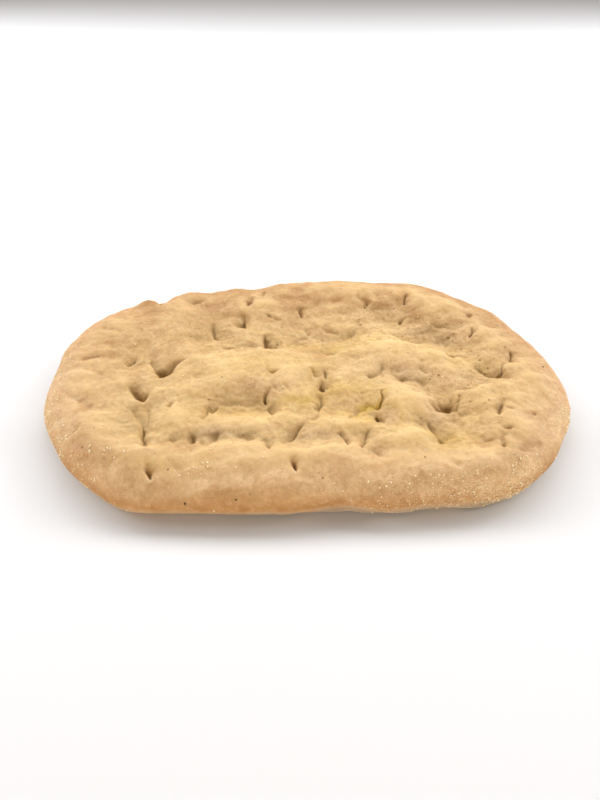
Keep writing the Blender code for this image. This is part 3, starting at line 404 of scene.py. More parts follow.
def waves(
    x: np.ndarray, y: np.ndarray, wavelength: float, height: float, seed: int, summed: int = 28
) -> np.ndarray:
    """Uneven waves of the dough, with no direction of their own.

    Args:
        x: Places along the loaf, in metres.
        y: Places across the loaf, in metres.
        wavelength: Middle length of a wave, in millimetres.
        height: Typical height of a wave, in millimetres.
        seed: Which random waves these are.
        summed: How many plain waves are added up.

    Returns:
        The lift at each place, in metres.
    """
    chance = np.random.default_rng(seed)
    lift = np.zeros_like(x)
    for _ in range(summed):
        heading = chance.uniform(0, 2 * math.pi)
        length = wavelength * MM * chance.uniform(0.7, 1.6)
        phase = chance.uniform(0, 2 * math.pi)
        run = x * math.cos(heading) + y * math.sin(heading)
        lift += np.sin(2 * math.pi * run / length + phase)
    return height * MM * lift * math.sqrt(2 / summed)


def patches(x: np.ndarray, y: np.ndarray, rows: Sequence, power: float = 2.0) -> np.ndarray:
    """The sum of soft oval patches at each place.

    Args:
        x: Places along the loaf, in metres.
        y: Places across the loaf, in metres.
        rows: Patches as x, y, half length, half width, turn and strength.
        power: How square a patch's cross section is.

    Returns:
        The strength at each place.
    """
    total = np.zeros_like(x)
    for cx, cy, half_length, half_width, turn, strength in rows:
        turned = math.radians(turn)
        east, north = x - cx * MM, y - cy * MM
        along = (east * math.cos(turned) + north * math.sin(turned)) / (half_length * MM)
        across = (north * math.cos(turned) - east * math.sin(turned)) / (half_width * MM)
        total += strength * np.exp(-(np.hypot(along, across) ** power))
    return total


@dataclass(frozen=True)
class Loaf:
    """The form of the bread: where its surface lies over each place on its plan."""

    length: float = 303 * MM
    width: float = 199 * MM
    rim_height: float = 20 * MM
    middle_height: float = 16.5 * MM
    outline_power: float = 2.8
    widest_height: float = 7.5 * MM
    top_roll: float = 20 * MM
    foot_inset: float = 8 * MM
    shoulder_angle: float = math.radians(38)
    rim_crest_inset: float = 22 * MM
    field_inset: float = 58 * MM
    press_narrowness: float = 2.0
    press_roundness: float = 1.3
    press_blend: float = 3.0
    press_tip: float = 3.0
    press_pull: float = 8.0
    press_fade: float = 10 * MM
    press_wander: tuple[float, float] = (9, 0.45)
    puff_power: float = 2.4
    wrinkle_middle: float = 0.5
    wrinkle_spread: float = 0.3
    wrinkle_sector: float = 0.4
    wrinkle_wander: tuple[float, float] = (14, 70)
    dough_waves: tuple[tuple[float, float, int], ...] = ((42, 0.9, 4), (13, 0.3, 9))
    skin_waves: tuple[tuple[float, float, int], ...] = ((6.0, 0.07, 21), (3.0, 0.045, 22))
    foot_waves: tuple[float, float, int] = (700, 300, 2)
    lip_reach: float = 1.5 * MM
    lip_height: float = 2.0 * MM
    lip_middle: float = math.radians(-76)
    lip_spread: float = math.radians(40)
    lip_waves: tuple[float, float, int] = (160, 450, 41)

    def radius(self, angle: np.ndarray) -> np.ndarray:
        """Distance from the middle of the plan to the widest line.

        Args:
            angle: Directions from the middle, in radians.

        Returns:
            The distance in each direction, in metres.
        """
        along = np.abs(np.cos(angle) / (self.length / 2)) ** self.outline_power
        across = np.abs(np.sin(angle) / (self.width / 2)) ** self.outline_power
        reach = (along + across) ** (-1 / self.outline_power)
        for direction, half_width, swell in SWELLS:
            apart = (np.degrees(angle) - direction + 180) % 360 - 180
            reach = reach + swell * MM * np.exp(-((apart / half_width) ** 2))
        return reach

    def inset(self, x: np.ndarray, y: np.ndarray) -> np.ndarray:
        """Distance of each place inside the widest line."""
        return self.radius(np.arctan2(y, x)) - np.hypot(x, y)

    def strokes(self, x: np.ndarray, y: np.ndarray, rows: Sequence) -> np.ndarray:
        """How deep a set of strokes has been pressed at each place.

        Args:
            x: Places along the loaf, in metres.
            y: Places across the loaf, in metres.
            rows: Strokes as soft radius, steep radius and points of x, y and depth.

        Returns:
            The depth at each place, in metres.
        """
        together = np.zeros_like(x)
        for soft, steep, points in rows:
            nearest = np.full_like(x, np.inf)
            weight, side, depth = np.zeros_like(x), np.zeros_like(x), np.zeros_like(x)
            for (x0, y0, depth0), (x1, y1, depth1) in zip(points, points[1:]):
                run_x, run_y = (x1 - x0) * MM, (y1 - y0) * MM
                length = math.hypot(run_x, run_y)
                along = ((x - x0 * MM) * run_x + (y - y0 * MM) * run_y) / length**2
                along = np.clip(along, 0, 1)
                off_x = x - x0 * MM - along * run_x
                off_y = y - y0 * MM - along * run_y
                distance = np.hypot(off_x, off_y) + TINY
                to_right = (off_x * run_y - off_y * run_x) / (length * distance)
                pull = (distance / MM) ** -self.press_pull
                nearest = np.minimum(nearest, distance)
                weight += pull
                side += pull * to_right
                depth += pull * (depth0 + (depth1 - depth0) * along) * MM
            to_left = np.clip(0.5 - 0.5 * side / weight, 0, 1)
            radius = (steep + (soft - steep) * to_left**self.press_tip) * MM
            share = self.press_narrowness * nearest / radius
            together += (depth / weight * np.exp(-(share**self.press_roundness))) ** self.press_blend
        return together ** (1 / self.press_blend)

    def pressed(self, x: np.ndarray, y: np.ndarray) -> np.ndarray:
        """How far fingertips have pressed the top in at each place."""
        wander_x, wander_y = (waves(x, y, *self.press_wander, seed) for seed in (31, 32))
        return self.strokes(x + wander_x, y + wander_y, PRESSES)

    def wrinkled(self, x: np.ndarray, y: np.ndarray) -> np.ndarray:
        """Depth of the wrinkles that run into the deep presses.

        Args:
            x: Places along the loaf, in metres.
            y: Places across the loaf, in metres.

        Returns:
            The depth at each place, in metres.
        """
        depth = np.zeros_like(x)
        for cx, cy, reach, count, deep in WRINKLES:
            east, north = x - cx * MM, y - cy * MM
            turn = np.arctan2(north, east)
            far = smooth_step(self.wrinkle_sector + np.sin(turn))
            share = np.hypot(east, north) / (reach * MM)
            ring = np.exp(-(((share - self.wrinkle_middle) / self.wrinkle_spread) ** 2))
            bent = count * (turn + waves(x, y, *self.wrinkle_wander, seed=count))
            depth += deep * MM * ring * far * (0.5 + 0.5 * np.sin(bent))
        return depth

    def top(self, x: np.ndarray, y: np.ndarray) -> np.ndarray:
        """Height of the upper surface inside the widest line.

        Args:
            x: Places along the loaf, in metres.
            y: Places across the loaf, in metres.

        Returns:
            The height at each place, in metres.
        """
        inset = self.inset(x, y)
        reach = self.field_inset - self.rim_crest_inset
        sunk = smooth_step((inset - self.rim_crest_inset) / reach)
        crown = self.rim_height - (self.rim_height - self.middle_height) * sunk
        crown += patches(x, y, PUFFS, power=self.puff_power) * MM
        crown += sum(waves(x, y, *wave) for wave in self.dough_waves)
        for wave in self.skin_waves:
            crown += waves(x, y, *wave)
        rolled = np.clip(1 - inset / self.top_roll, 0, 1)
        roll = np.sqrt(1 - rolled**2)
        sunk_in = self.pressed(x, y) + self.wrinkled(x, y) + self.strokes(x, y, CRACKS)
        sunk_in = sunk_in * smooth_step(inset / self.press_fade)
        return self.widest_height + (crown - self.widest_height) * roll - sunk_in

    def side(self, level: np.ndarray, foot: np.ndarray) -> tuple[np.ndarray, np.ndarray]:
        """The side's line from the shoulder down to the foot.

        Args:
            level: From 1 at the shoulder, through 0 at the widest line, to -1 at the foot.
            foot: Inset of the foot in each direction, in metres.

        Returns:
            The inset from the widest line at each level, and the height of what is below it.
        """
        below = np.clip(-level, 0, 1) * math.pi / 2
        above = np.clip(level, 0, 1) * self.shoulder_angle
        inset = foot * (1 - np.cos(below)) + self.top_roll * (1 - np.cos(above))
        return inset, self.widest_height * (1 - np.sin(below))

    def lip(self, angle: np.ndarray, height: np.ndarray) -> np.ndarray:
        """How far the thin lip along the front of the foot stands out.

        Args:
            angle: Directions from the middle, in radians.
            height: Heights on the side, in metres.

        Returns:
            How far it stands out at each place, in metres.
        """
        apart = (angle - self.lip_middle + math.pi) % (2 * math.pi) - math.pi
        share = np.exp(-((apart / self.lip_spread) ** 4))
        ragged = 1 + waves(np.cos(angle), np.sin(angle), *self.lip_waves)
        band = np.exp(-(((height - self.lip_height) / (0.7 * self.lip_height)) ** 2))
        return self.lip_reach * share * ragged * band

    def shape(self, points: np.ndarray) -> np.ndarray:
        """Moves a block's points onto the bread.

        Args:
            points: x, y and z of each point of a block that reaches from -1 to 1.

        Returns:
            x, y and z of each point on the bread, in metres, about the plan's middle.
        """
        s, t, level = points.T
        ring = np.maximum(np.abs(s), np.abs(t))
        angle = np.arctan2(t * self.width, s * self.length)
        radius = self.radius(angle)
        foot = self.foot_inset * (1 + waves(np.cos(angle), np.sin(angle), *self.foot_waves))
        inset, low = self.side(level, foot)
        inset = inset - np.where(level < 0, self.lip(angle, low), 0)
        shoulder = self.top_roll * (1 - math.cos(self.shoulder_angle))
        reach = np.where(level > 1 - TINY, (radius - shoulder) * ring, radius - inset)
        reach = np.where(level < -1 + TINY, (radius - foot) * ring, reach)
        x, y = reach * np.cos(angle), reach * np.sin(angle)
        return np.stack([x, y, np.where(level >= 0, self.top(x, y), low)], axis=1)


def linear(red: float, green: float, blue: float) -> tuple[float, float, float, float]:
    """A screen colour of 0 to 255 as the linear colour that materials take."""
    shares = [((c / 255 + 0.055) / 1.055) ** 2.4 for c in (red, green, blue)]
    return (*shares, 1.0)


class Mark(Enum):
    """What a place on the crust is marked with. Each is a number at every point of the skin."""

    RIM = "rim"
    # Painted shade in the presses, darker where they are deeper.
    PRESSED_SHADE = "pressed"
    # Painted shade where the top lies lower than what is round it.
    HOLLOW_SHADE = "hollow_shade"
    # Painted highlight where the top stands higher than what is round it.
    CREST_HIGHLIGHT = "crest_highlight"
    TOASTED = "toasted"
    PALED = "paled"
    # Painted shade low on the long sides.
    LOW_SHADE = "low"
    DABBED = "dabbed"
    GOLDEN = "golden"
    # Greenish tone in and round the presses, partly painted shade.
    OLIVE_AND_SHADE = "olive_and_shade"
    OILED = "oiled"
    FLOURED = "floured"
    # Painted shade on the lip along the front of the foot.
    LIP_SHADE = "lip"
    UNDER = "under"
    # Painted shade on the side below where it turns under.
    FOOT_SHADE = "foot"


class Recipe:
    """A material's nodes, with short ways to add to them."""

    def __init__(self, name: str) -> None:
        """Starts a material.

        Args:
            name: The material's name.
        """
        self.material = bpy.data.materials.new(name)
        self.material.use_nodes = True
        self.tree = self.material.node_tree
        self.shader = self.tree.nodes["Principled BSDF"]
        self.place = self.tree.nodes.new("ShaderNodeTexCoord").outputs["Object"]

    def set(self, **values: float) -> None:
        """Sets plain values on the shader; an underscore in a name stands for a space."""
        for name, value in values.items():
            self.shader.inputs[name.replace("_", " ")].default_value = value

    def link(self, source: bpy.types.NodeSocket, target: str) -> None:
        """Leads a value into one of the shader's inputs."""
        self.tree.links.new(source, self.shader.inputs[target])

    def lead(self, value: bpy.types.NodeSocket | float | tuple, socket: bpy.types.NodeSocket) -> None:
        """Links a value to a socket, or sets it there if it is the same everywhere.

        Args:
            value: Another node's output, or a plain number or colour.
            socket: The input that it goes to.
        """
        if isinstance(value, bpy.types.NodeSocket):
            self.tree.links.new(value, socket)
        else:
            socket.default_value = value

    def mark(self, mark: Mark) -> bpy.types.NodeSocket:
        """Reads a mark.

        Args:
            mark: Which mark to read.

        Returns:
            The mark's number at each place on the skin.
        """
        node = self.tree.nodes.new("ShaderNodeAttribute")
        node.attribute_name = mark.value
        return node.outputs["Fac"]

    def noise(
        self, size: float, detail: float = 3, roughness: float = 0.55, twist: float = 0
    ) -> bpy.types.NodeSocket:
        """Cloudy noise.

        Args:
            size: Size of its largest clouds, in millimetres.
            detail: How many finer layers it has.
            roughness: How strong the finer layers are.
            twist: How far it is distorted.

        Returns:
            A number of about 0.3 to 0.7 at each place.
        """
        node = self.tree.nodes.new("ShaderNodeTexNoise")
        node.inputs["Scale"].default_value = 1 / (size * MM)
        node.inputs["Detail"].default_value = detail
        node.inputs["Roughness"].default_value = roughness
        node.inputs["Distortion"].default_value = twist
        self.tree.links.new(self.place, node.inputs["Vector"])
        return node.outputs["Fac"]

    def cells(self, size: float, output: str = "Distance") -> bpy.types.NodeSocket:
        """Uneven cells.

        Args:
            size: How wide a cell is, in millimetres.
            output: Distance to the cell's point, or the cell's own Color.

        Returns:
            That output at each place.
        """
        node = self.tree.nodes.new("ShaderNodeTexVoronoi")
        node.inputs["Scale"].default_value = 1 / (size * MM)
        self.tree.links.new(self.place, node.inputs["Vector"])
        return node.outputs[output]

    def spread(
        self, value: bpy.types.NodeSocket, low: float, high: float, start: float = 0, end: float = 1
    ) -> bpy.types.NodeSocket:
        """Spreads a value between two limits smoothly over a new range.

        Args:
            value: The value to spread.
            low: The value that becomes start.
            high: The value that becomes end.
            start: The first end of the new range.
            end: The other end of the new range.

        Returns:
            The spread value, kept inside the new range.
        """
        node = self.tree.nodes.new("ShaderNodeMapRange")
        node.interpolation_type = "SMOOTHSTEP"
        self.tree.links.new(value, node.inputs["Value"])
        limits = (low, high, start, end)
        for name, limit in zip(("From Min", "From Max", "To Min", "To Max"), limits):
            node.inputs[name].default_value = limit
        return node.outputs["Result"]

    def work(
        self, step: str, first: bpy.types.NodeSocket | float, second: bpy.types.NodeSocket | float
    ) -> bpy.types.NodeSocket:
        """Does one step of arithmetic.

        Args:
            step: The step, such as MULTIPLY or ADD.
            first: The first value.
            second: The second value.

        Returns:
            The result.
        """
        node = self.tree.nodes.new("ShaderNodeMath")
        node.operation = step
        for socket, value in zip(node.inputs, (first, second)):
            self.lead(value, socket)
        return node.outputs["Value"]

    def blend(
        self,
        share: bpy.types.NodeSocket | float,
        first: bpy.types.NodeSocket | tuple,
        second: bpy.types.NodeSocket | tuple,
    ) -> bpy.types.NodeSocket:
        """Blends two colours.

        Args:
            share: How much of the second colour there is.
            first: The colour underneath.
            second: The colour on top.

        Returns:
            The blended colour.
        """
        node = self.tree.nodes.new("ShaderNodeMix")
        node.data_type = "RGBA"
        node.clamp_factor = True
        sockets = (node.inputs[0], node.inputs[6], node.inputs[7])
        for socket, value in zip(sockets, (share, first, second)):
            self.lead(value, socket)
        return node.outputs[2]

    def stain(
        self,
        colour: bpy.types.NodeSocket,
        mark: Mark | None,
        cloud: bpy.types.NodeSocket,
        limits: tuple[float, float, float, float],
        stain: tuple,
    ) -> bpy.types.NodeSocket:
        """Stains a colour in clouds.

        Args:
            colour: The colour underneath.
            mark: The mark where the stain is, or None if it is everywhere.
            cloud: The noise that it follows.
            limits: The noise's lower and upper limits, and the stain's strength at each.
            stain: The stain's colour.

        Returns:
            The stained colour.
        """
        share = self.spread(cloud, *limits)
        if mark is not None:
            share = self.work("MULTIPLY", self.mark(mark), share)
        return self.blend(share, colour, stain)

    def bump(
        self,
        height: bpy.types.NodeSocket,
        depth: float,
        under: bpy.types.NodeSocket | None = None,
    ) -> bpy.types.NodeSocket:
        """Roughens the surface.

        Args:
            height: Where it is high.
            depth: How deep it is, in millimetres.
            under: A bump that this one lies on.

        Returns:
            The roughened normal.
        """
        node = self.tree.nodes.new("ShaderNodeBump")
        node.inputs["Distance"].default_value = depth * MM
        node.inputs["Strength"].default_value = 1
        self.tree.links.new(height, node.inputs["Height"])
        if under is not None:
            self.tree.links.new(under, node.inputs["Normal"])
        return node.outputs["Normal"]


@dataclass(frozen=True)
class CrustFinish:
    """Pale baked crust: creamy in the middle, tan at the rim, with painted shade in the presses, the
    hollows, low on the side, at the foot and on the lip, and painted highlight on the crests.
    """

    cream: tuple = linear(203, 174, 124)
    tan: tuple = linear(191, 152, 105)
    rosy: tuple = linear(198, 153, 113)
    gold: tuple = linear(203, 170, 102)
    toast: tuple = linear(156, 114, 68)
    # Painted shade deep in the presses.
    press_shade: tuple = linear(104, 70, 36)
    # Greenish tone in and round the presses, partly painted shade.
    olive_and_shade: tuple = linear(160, 134, 76)
    # Painted shade in the hollows of the top.
    hollow_shade: tuple = linear(158, 124, 72)
    # Painted highlight on the crests of the top.
    crest_highlight: tuple = linear(212, 182, 130)
    oil: tuple = linear(192, 158, 66)
    # Painted shade, darker and greyer, low on the side where it turns under.
    foot: tuple = linear(170, 142, 112)
    # Painted shade: the lip's grey-brown, like the shadow under the front edge.
    lip: tuple = linear(152, 136, 116)
    pale: tuple = linear(216, 187, 146)
    flour: tuple = linear(222, 204, 170)
    speck: tuple = linear(98, 64, 34)
    dab: tuple = linear(140, 102, 54)
    base_toast: tuple = linear(164, 118, 70)
    roughness: float = 0.72
    roughness_spread: float = 0.08
    oiled_roughness: float = 0.34
    glow: float = 0.4
    glow_reach: float = 2.5 * MM
    glow_colours: tuple = (1.0, 0.6, 0.3)

    def colour(self, recipe: Recipe) -> bpy.types.NodeSocket:
        """Works out the crust's colour.

        Args:
            recipe: The material's nodes.

        Returns:
            The crust's colour at each place.
        """
        broad = recipe.noise(34, detail=2)
        cloudy = recipe.noise(11, detail=4, roughness=0.6, twist=0.4)
        fine = recipe.noise(2.6, detail=4, roughness=0.65)
        grain = recipe.noise(0.9, detail=2, roughness=0.6)
        blotched = recipe.noise(6, detail=5, roughness=0.62, twist=0.8)
        rim = recipe.work("ADD", recipe.mark(Mark.RIM), recipe.spread(broad, 0.35, 0.65, -0.25, 0.25))
        colour = recipe.blend(rim, self.cream, self.tan)
        for stain in (
            (Mark.GOLDEN, cloudy, (0.3, 0.6, 0.4, 1), self.gold),
            (Mark.RIM, cloudy, (0.45, 0.62, 0, 0.55), self.rosy),
            (Mark.TOASTED, cloudy, (0.38, 0.6, 0.55, 1), self.toast),
            (Mark.PALED, cloudy, (0.36, 0.58, 1, 0.55), self.pale),
            # Painted shade low on the long sides, in the toast colour.
            (Mark.LOW_SHADE, cloudy, (0.38, 0.58, 0.65, 1), self.toast),
            # Greenish tone in and round the presses, partly painted shade.
            (Mark.OLIVE_AND_SHADE, fine, (0.4, 0.6, 0.25, 0.9), self.olive_and_shade),
            (None, cloudy, (0.35, 0.65, 0.14, 0), self.toast),
            (None, blotched, (0.36, 0.54, 0.3, 0), self.toast),
            (None, blotched, (0.54, 0.68, 0, 0.22), self.pale),
            (None, fine, (0.36, 0.6, 0.22, 0), self.toast),
            (None, fine, (0.52, 0.7, 0, 0.22), self.pale),
            (None, grain, (0.3, 0.55, 0.2, 0), self.toast),
        ):
            colour = recipe.stain(colour, *stain)
        colour = recipe.blend(self.dabs(recipe), colour, self.dab)
        # Painted shade in the hollows.
        colour = recipe.stain(colour, Mark.HOLLOW_SHADE, fine, (0.35, 0.6, 0.5, 0.25), self.hollow_shade)
        # Painted highlight on the crests.
        colour = recipe.blend(recipe.work("MULTIPLY", recipe.mark(Mark.CREST_HIGHLIGHT), 0.5), colour, self.crest_highlight)
        # Painted shade in the presses.
        colour = recipe.stain(colour, Mark.PRESSED_SHADE, fine, (0.35, 0.6, 0.85, 1.1), self.press_shade)
        colour = recipe.blend(recipe.mark(Mark.OILED), colour, self.oil)
        # Painted shade on the foot.
        colour = recipe.stain(colour, Mark.FOOT_SHADE, cloudy, (0.35, 0.6, 1, 0.65), self.foot)
        # Painted shade on the lip.
        colour = recipe.blend(recipe.mark(Mark.LIP_SHADE), colour, self.lip)
        under = recipe.blend(recipe.spread(cloudy, 0.42, 0.6), self.tan, self.base_toast)
        colour = recipe.blend(recipe.mark(Mark.UNDER), colour, under)
        colour = recipe.stain(colour, Mark.FLOURED, grain, (0.5, 0.62, 0, 0.5), self.flour)
        return self.specked(recipe, colour)

    def dabs(self, recipe: Recipe) -> bpy.types.NodeSocket:
        """Small brown dabs, thickest in the hollows and on the loaf's far and right parts.

        Args:
            recipe: The material's nodes.

        Returns:
            How strong the dabs are at each place.
        """
        soft = recipe.spread(recipe.noise(3.6, detail=3, roughness=0.6, twist=1.0), 0.56, 0.66, 0, 0.5)
        spots = recipe.spread(recipe.cells(4.4), 0.12, 0.28, 1, 0)
        chosen = recipe.spread(recipe.cells(4.4, "Color"), 0.42, 0.55)
        sparse = recipe.work("MAXIMUM", soft, recipe.work("MULTIPLY", spots, chosen))
        many = recipe.spread(recipe.noise(16, detail=1), 0.4, 0.58, 0.4, 1)
        olive_and_shade = recipe.work("ADD", recipe.mark(Mark.OLIVE_AND_SHADE), recipe.mark(Mark.DABBED))
        return recipe.work("MULTIPLY", sparse, recipe.work("MULTIPLY", many, olive_and_shade))

    def specked(self, recipe: Recipe, colour: bpy.types.NodeSocket) -> bpy.types.NodeSocket:
        """Strews the finest bran specks over a colour.

        Args:
            recipe: The material's nodes.
            colour: The colour under the specks.

        Returns:
            The specked colour.
        """
        for size, width, least in ((2.3, 0.11, 0.62), (4.1, 0.09, 0.5)):
            spot = recipe.spread(recipe.cells(size), width * 0.6, width, 1, 0)
            chosen = recipe.spread(recipe.cells(size, "Color"), least, least + 0.05)
            share = recipe.work("MULTIPLY", spot, chosen)
            colour = recipe.blend(recipe.work("MULTIPLY", share, 0.75), colour, self.speck)
        return colour

    def material(self) -> bpy.types.Material:
        """Makes the crust's material.

        Returns:
            The material.
        """
        recipe = Recipe("baked_crust")
        recipe.link(self.colour(recipe), "Base Color")
        least, most = self.roughness - self.roughness_spread, self.roughness + self.roughness_spread
        rough = recipe.spread(recipe.noise(3, detail=2), 0.3, 0.7, least, most)
        oiled = recipe.work("MULTIPLY", recipe.mark(Mark.OILED), self.roughness - self.oiled_roughness)
        recipe.link(recipe.work("SUBTRACT", rough, oiled), "Roughness")
        skin = recipe.bump(recipe.noise(2.4, detail=5, roughness=0.6), 0.18)
        recipe.link(recipe.bump(recipe.noise(0.7, detail=2), 0.06, under=skin), "Normal")
        recipe.set(IOR=1.4, Specular_IOR_Level=0.35)
        recipe.set(Subsurface_Weight=self.glow, Subsurface_Scale=self.glow_reach)
        recipe.shader.inputs["Subsurface Radius"].default_value = self.glow_colours
        return recipe.material


@dataclass(frozen=True)
class GrainFinish:
    """Dry grains: one colour, clouded with a second."""

    name: str
    colour: tuple
    second: tuple
    roughness: float = 0.6

    def material(self) -> bpy.types.Material:
        """Makes the grains' material.

        Returns:
            The material.
        """
        recipe = Recipe(self.name)
        cloudy = recipe.spread(recipe.noise(1.3, detail=2), 0.4, 0.6)
        recipe.link(recipe.blend(cloudy, self.colour, self.second), "Base Color")
        recipe.link(recipe.bump(recipe.noise(0.25, detail=1), 0.05), "Normal")
        recipe.set(Roughness=self.roughness, IOR=1.45)
        return recipe.material


def points_of(mesh: bpy.types.Mesh) -> np.ndarray:
    """Reads a mesh's vertices.

    Args:
        mesh: Any mesh.

    Returns:
        One row of x, y and z for each vertex.
    """
    flat = np.empty(3 * len(mesh.vertices))
    mesh.vertices.foreach_get("co", flat)
    return flat.reshape(-1, 3)


def show(name: str, mesh: bpy.types.Mesh) -> bpy.types.Object:
    """Puts a finished mesh in the scene as a piece.

    Args:
        name: The piece's name.
        mesh: Its mesh, in place.

    Returns:
        The piece, which rides on the bread's body.
    """
    piece = bpy.data.objects.new(name, mesh)
    bpy.context.scene.collection.objects.link(piece)
    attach(piece, "root")
    return piece


@dataclass(frozen=True)
class Unevenness:
    """How far each place on the top lies under or over what is around it."""

    loaf: Loaf
    step: float = 1.0 * MM
    least: float = 1.5 * MM
    near: float = 5.0 * MM
    wide: float = 13.0 * MM
    strength: float = 0.6
    reach: tuple[float, float] = (0.56, 0.58)

    def smoothed(self, heights: np.ndarray, around: float) -> np.ndarray:
        """Evens out heights.

        Args:
            heights: Heights on the grid.
            around: The distance that they are evened out over, in metres.

        Returns:
            The even heights on the same grid.
        """
        reach = round(3 * around / self.step)
        apart = np.arange(-reach, reach + 1) * self.step
        share = np.exp(-0.5 * (apart / around) ** 2)
        share /= share.sum()
        for axis in (0, 1):
            padded = np.pad(heights, [(reach, reach) if a == axis else (0, 0) for a in (0, 1)], "edge")
            heights = np.apply_along_axis(np.convolve, axis, padded, share, "valid")
        return heights

    def depth(self, x: np.ndarray, y: np.ndarray) -> np.ndarray:
        """How far each place lies under its surroundings, in metres; less than 0 where it is over.

        Args:
            x: Places along the loaf, in metres.
            y: Places across the loaf, in metres.

        Returns:
            The depth at each place.
        """
        half_length, half_width = self.reach[0] * self.loaf.length, self.reach[1] * self.loaf.width
        across = np.arange(-half_length, half_length, self.step)
        up = np.arange(-half_width, half_width, self.step)
        grid_x, grid_y = np.meshgrid(across, up)
        heights = self.loaf.top(grid_x, grid_y)
        low = self.loaf.widest_height
        heights = np.where(self.loaf.inset(grid_x, grid_y) > 0, heights, low)
        under = self.strength * (self.smoothed(heights, self.near) - heights)
        under += self.strength * (self.smoothed(heights, self.wide) - self.smoothed(heights, self.least))
        column = np.clip((x + half_length) / self.step, 0, len(across) - 1.001)
        row = np.clip((y + half_width) / self.step, 0, len(up) - 1.001)
        left, bottom = column.astype(int), row.astype(int)
        east, north = column - left, row - bottom
        lower = under[bottom, left] * (1 - east) + under[bottom, left + 1] * east
        upper = under[bottom + 1, left] * (1 - east) + under[bottom + 1, left + 1] * east
        return lower * (1 - north) + upper * north


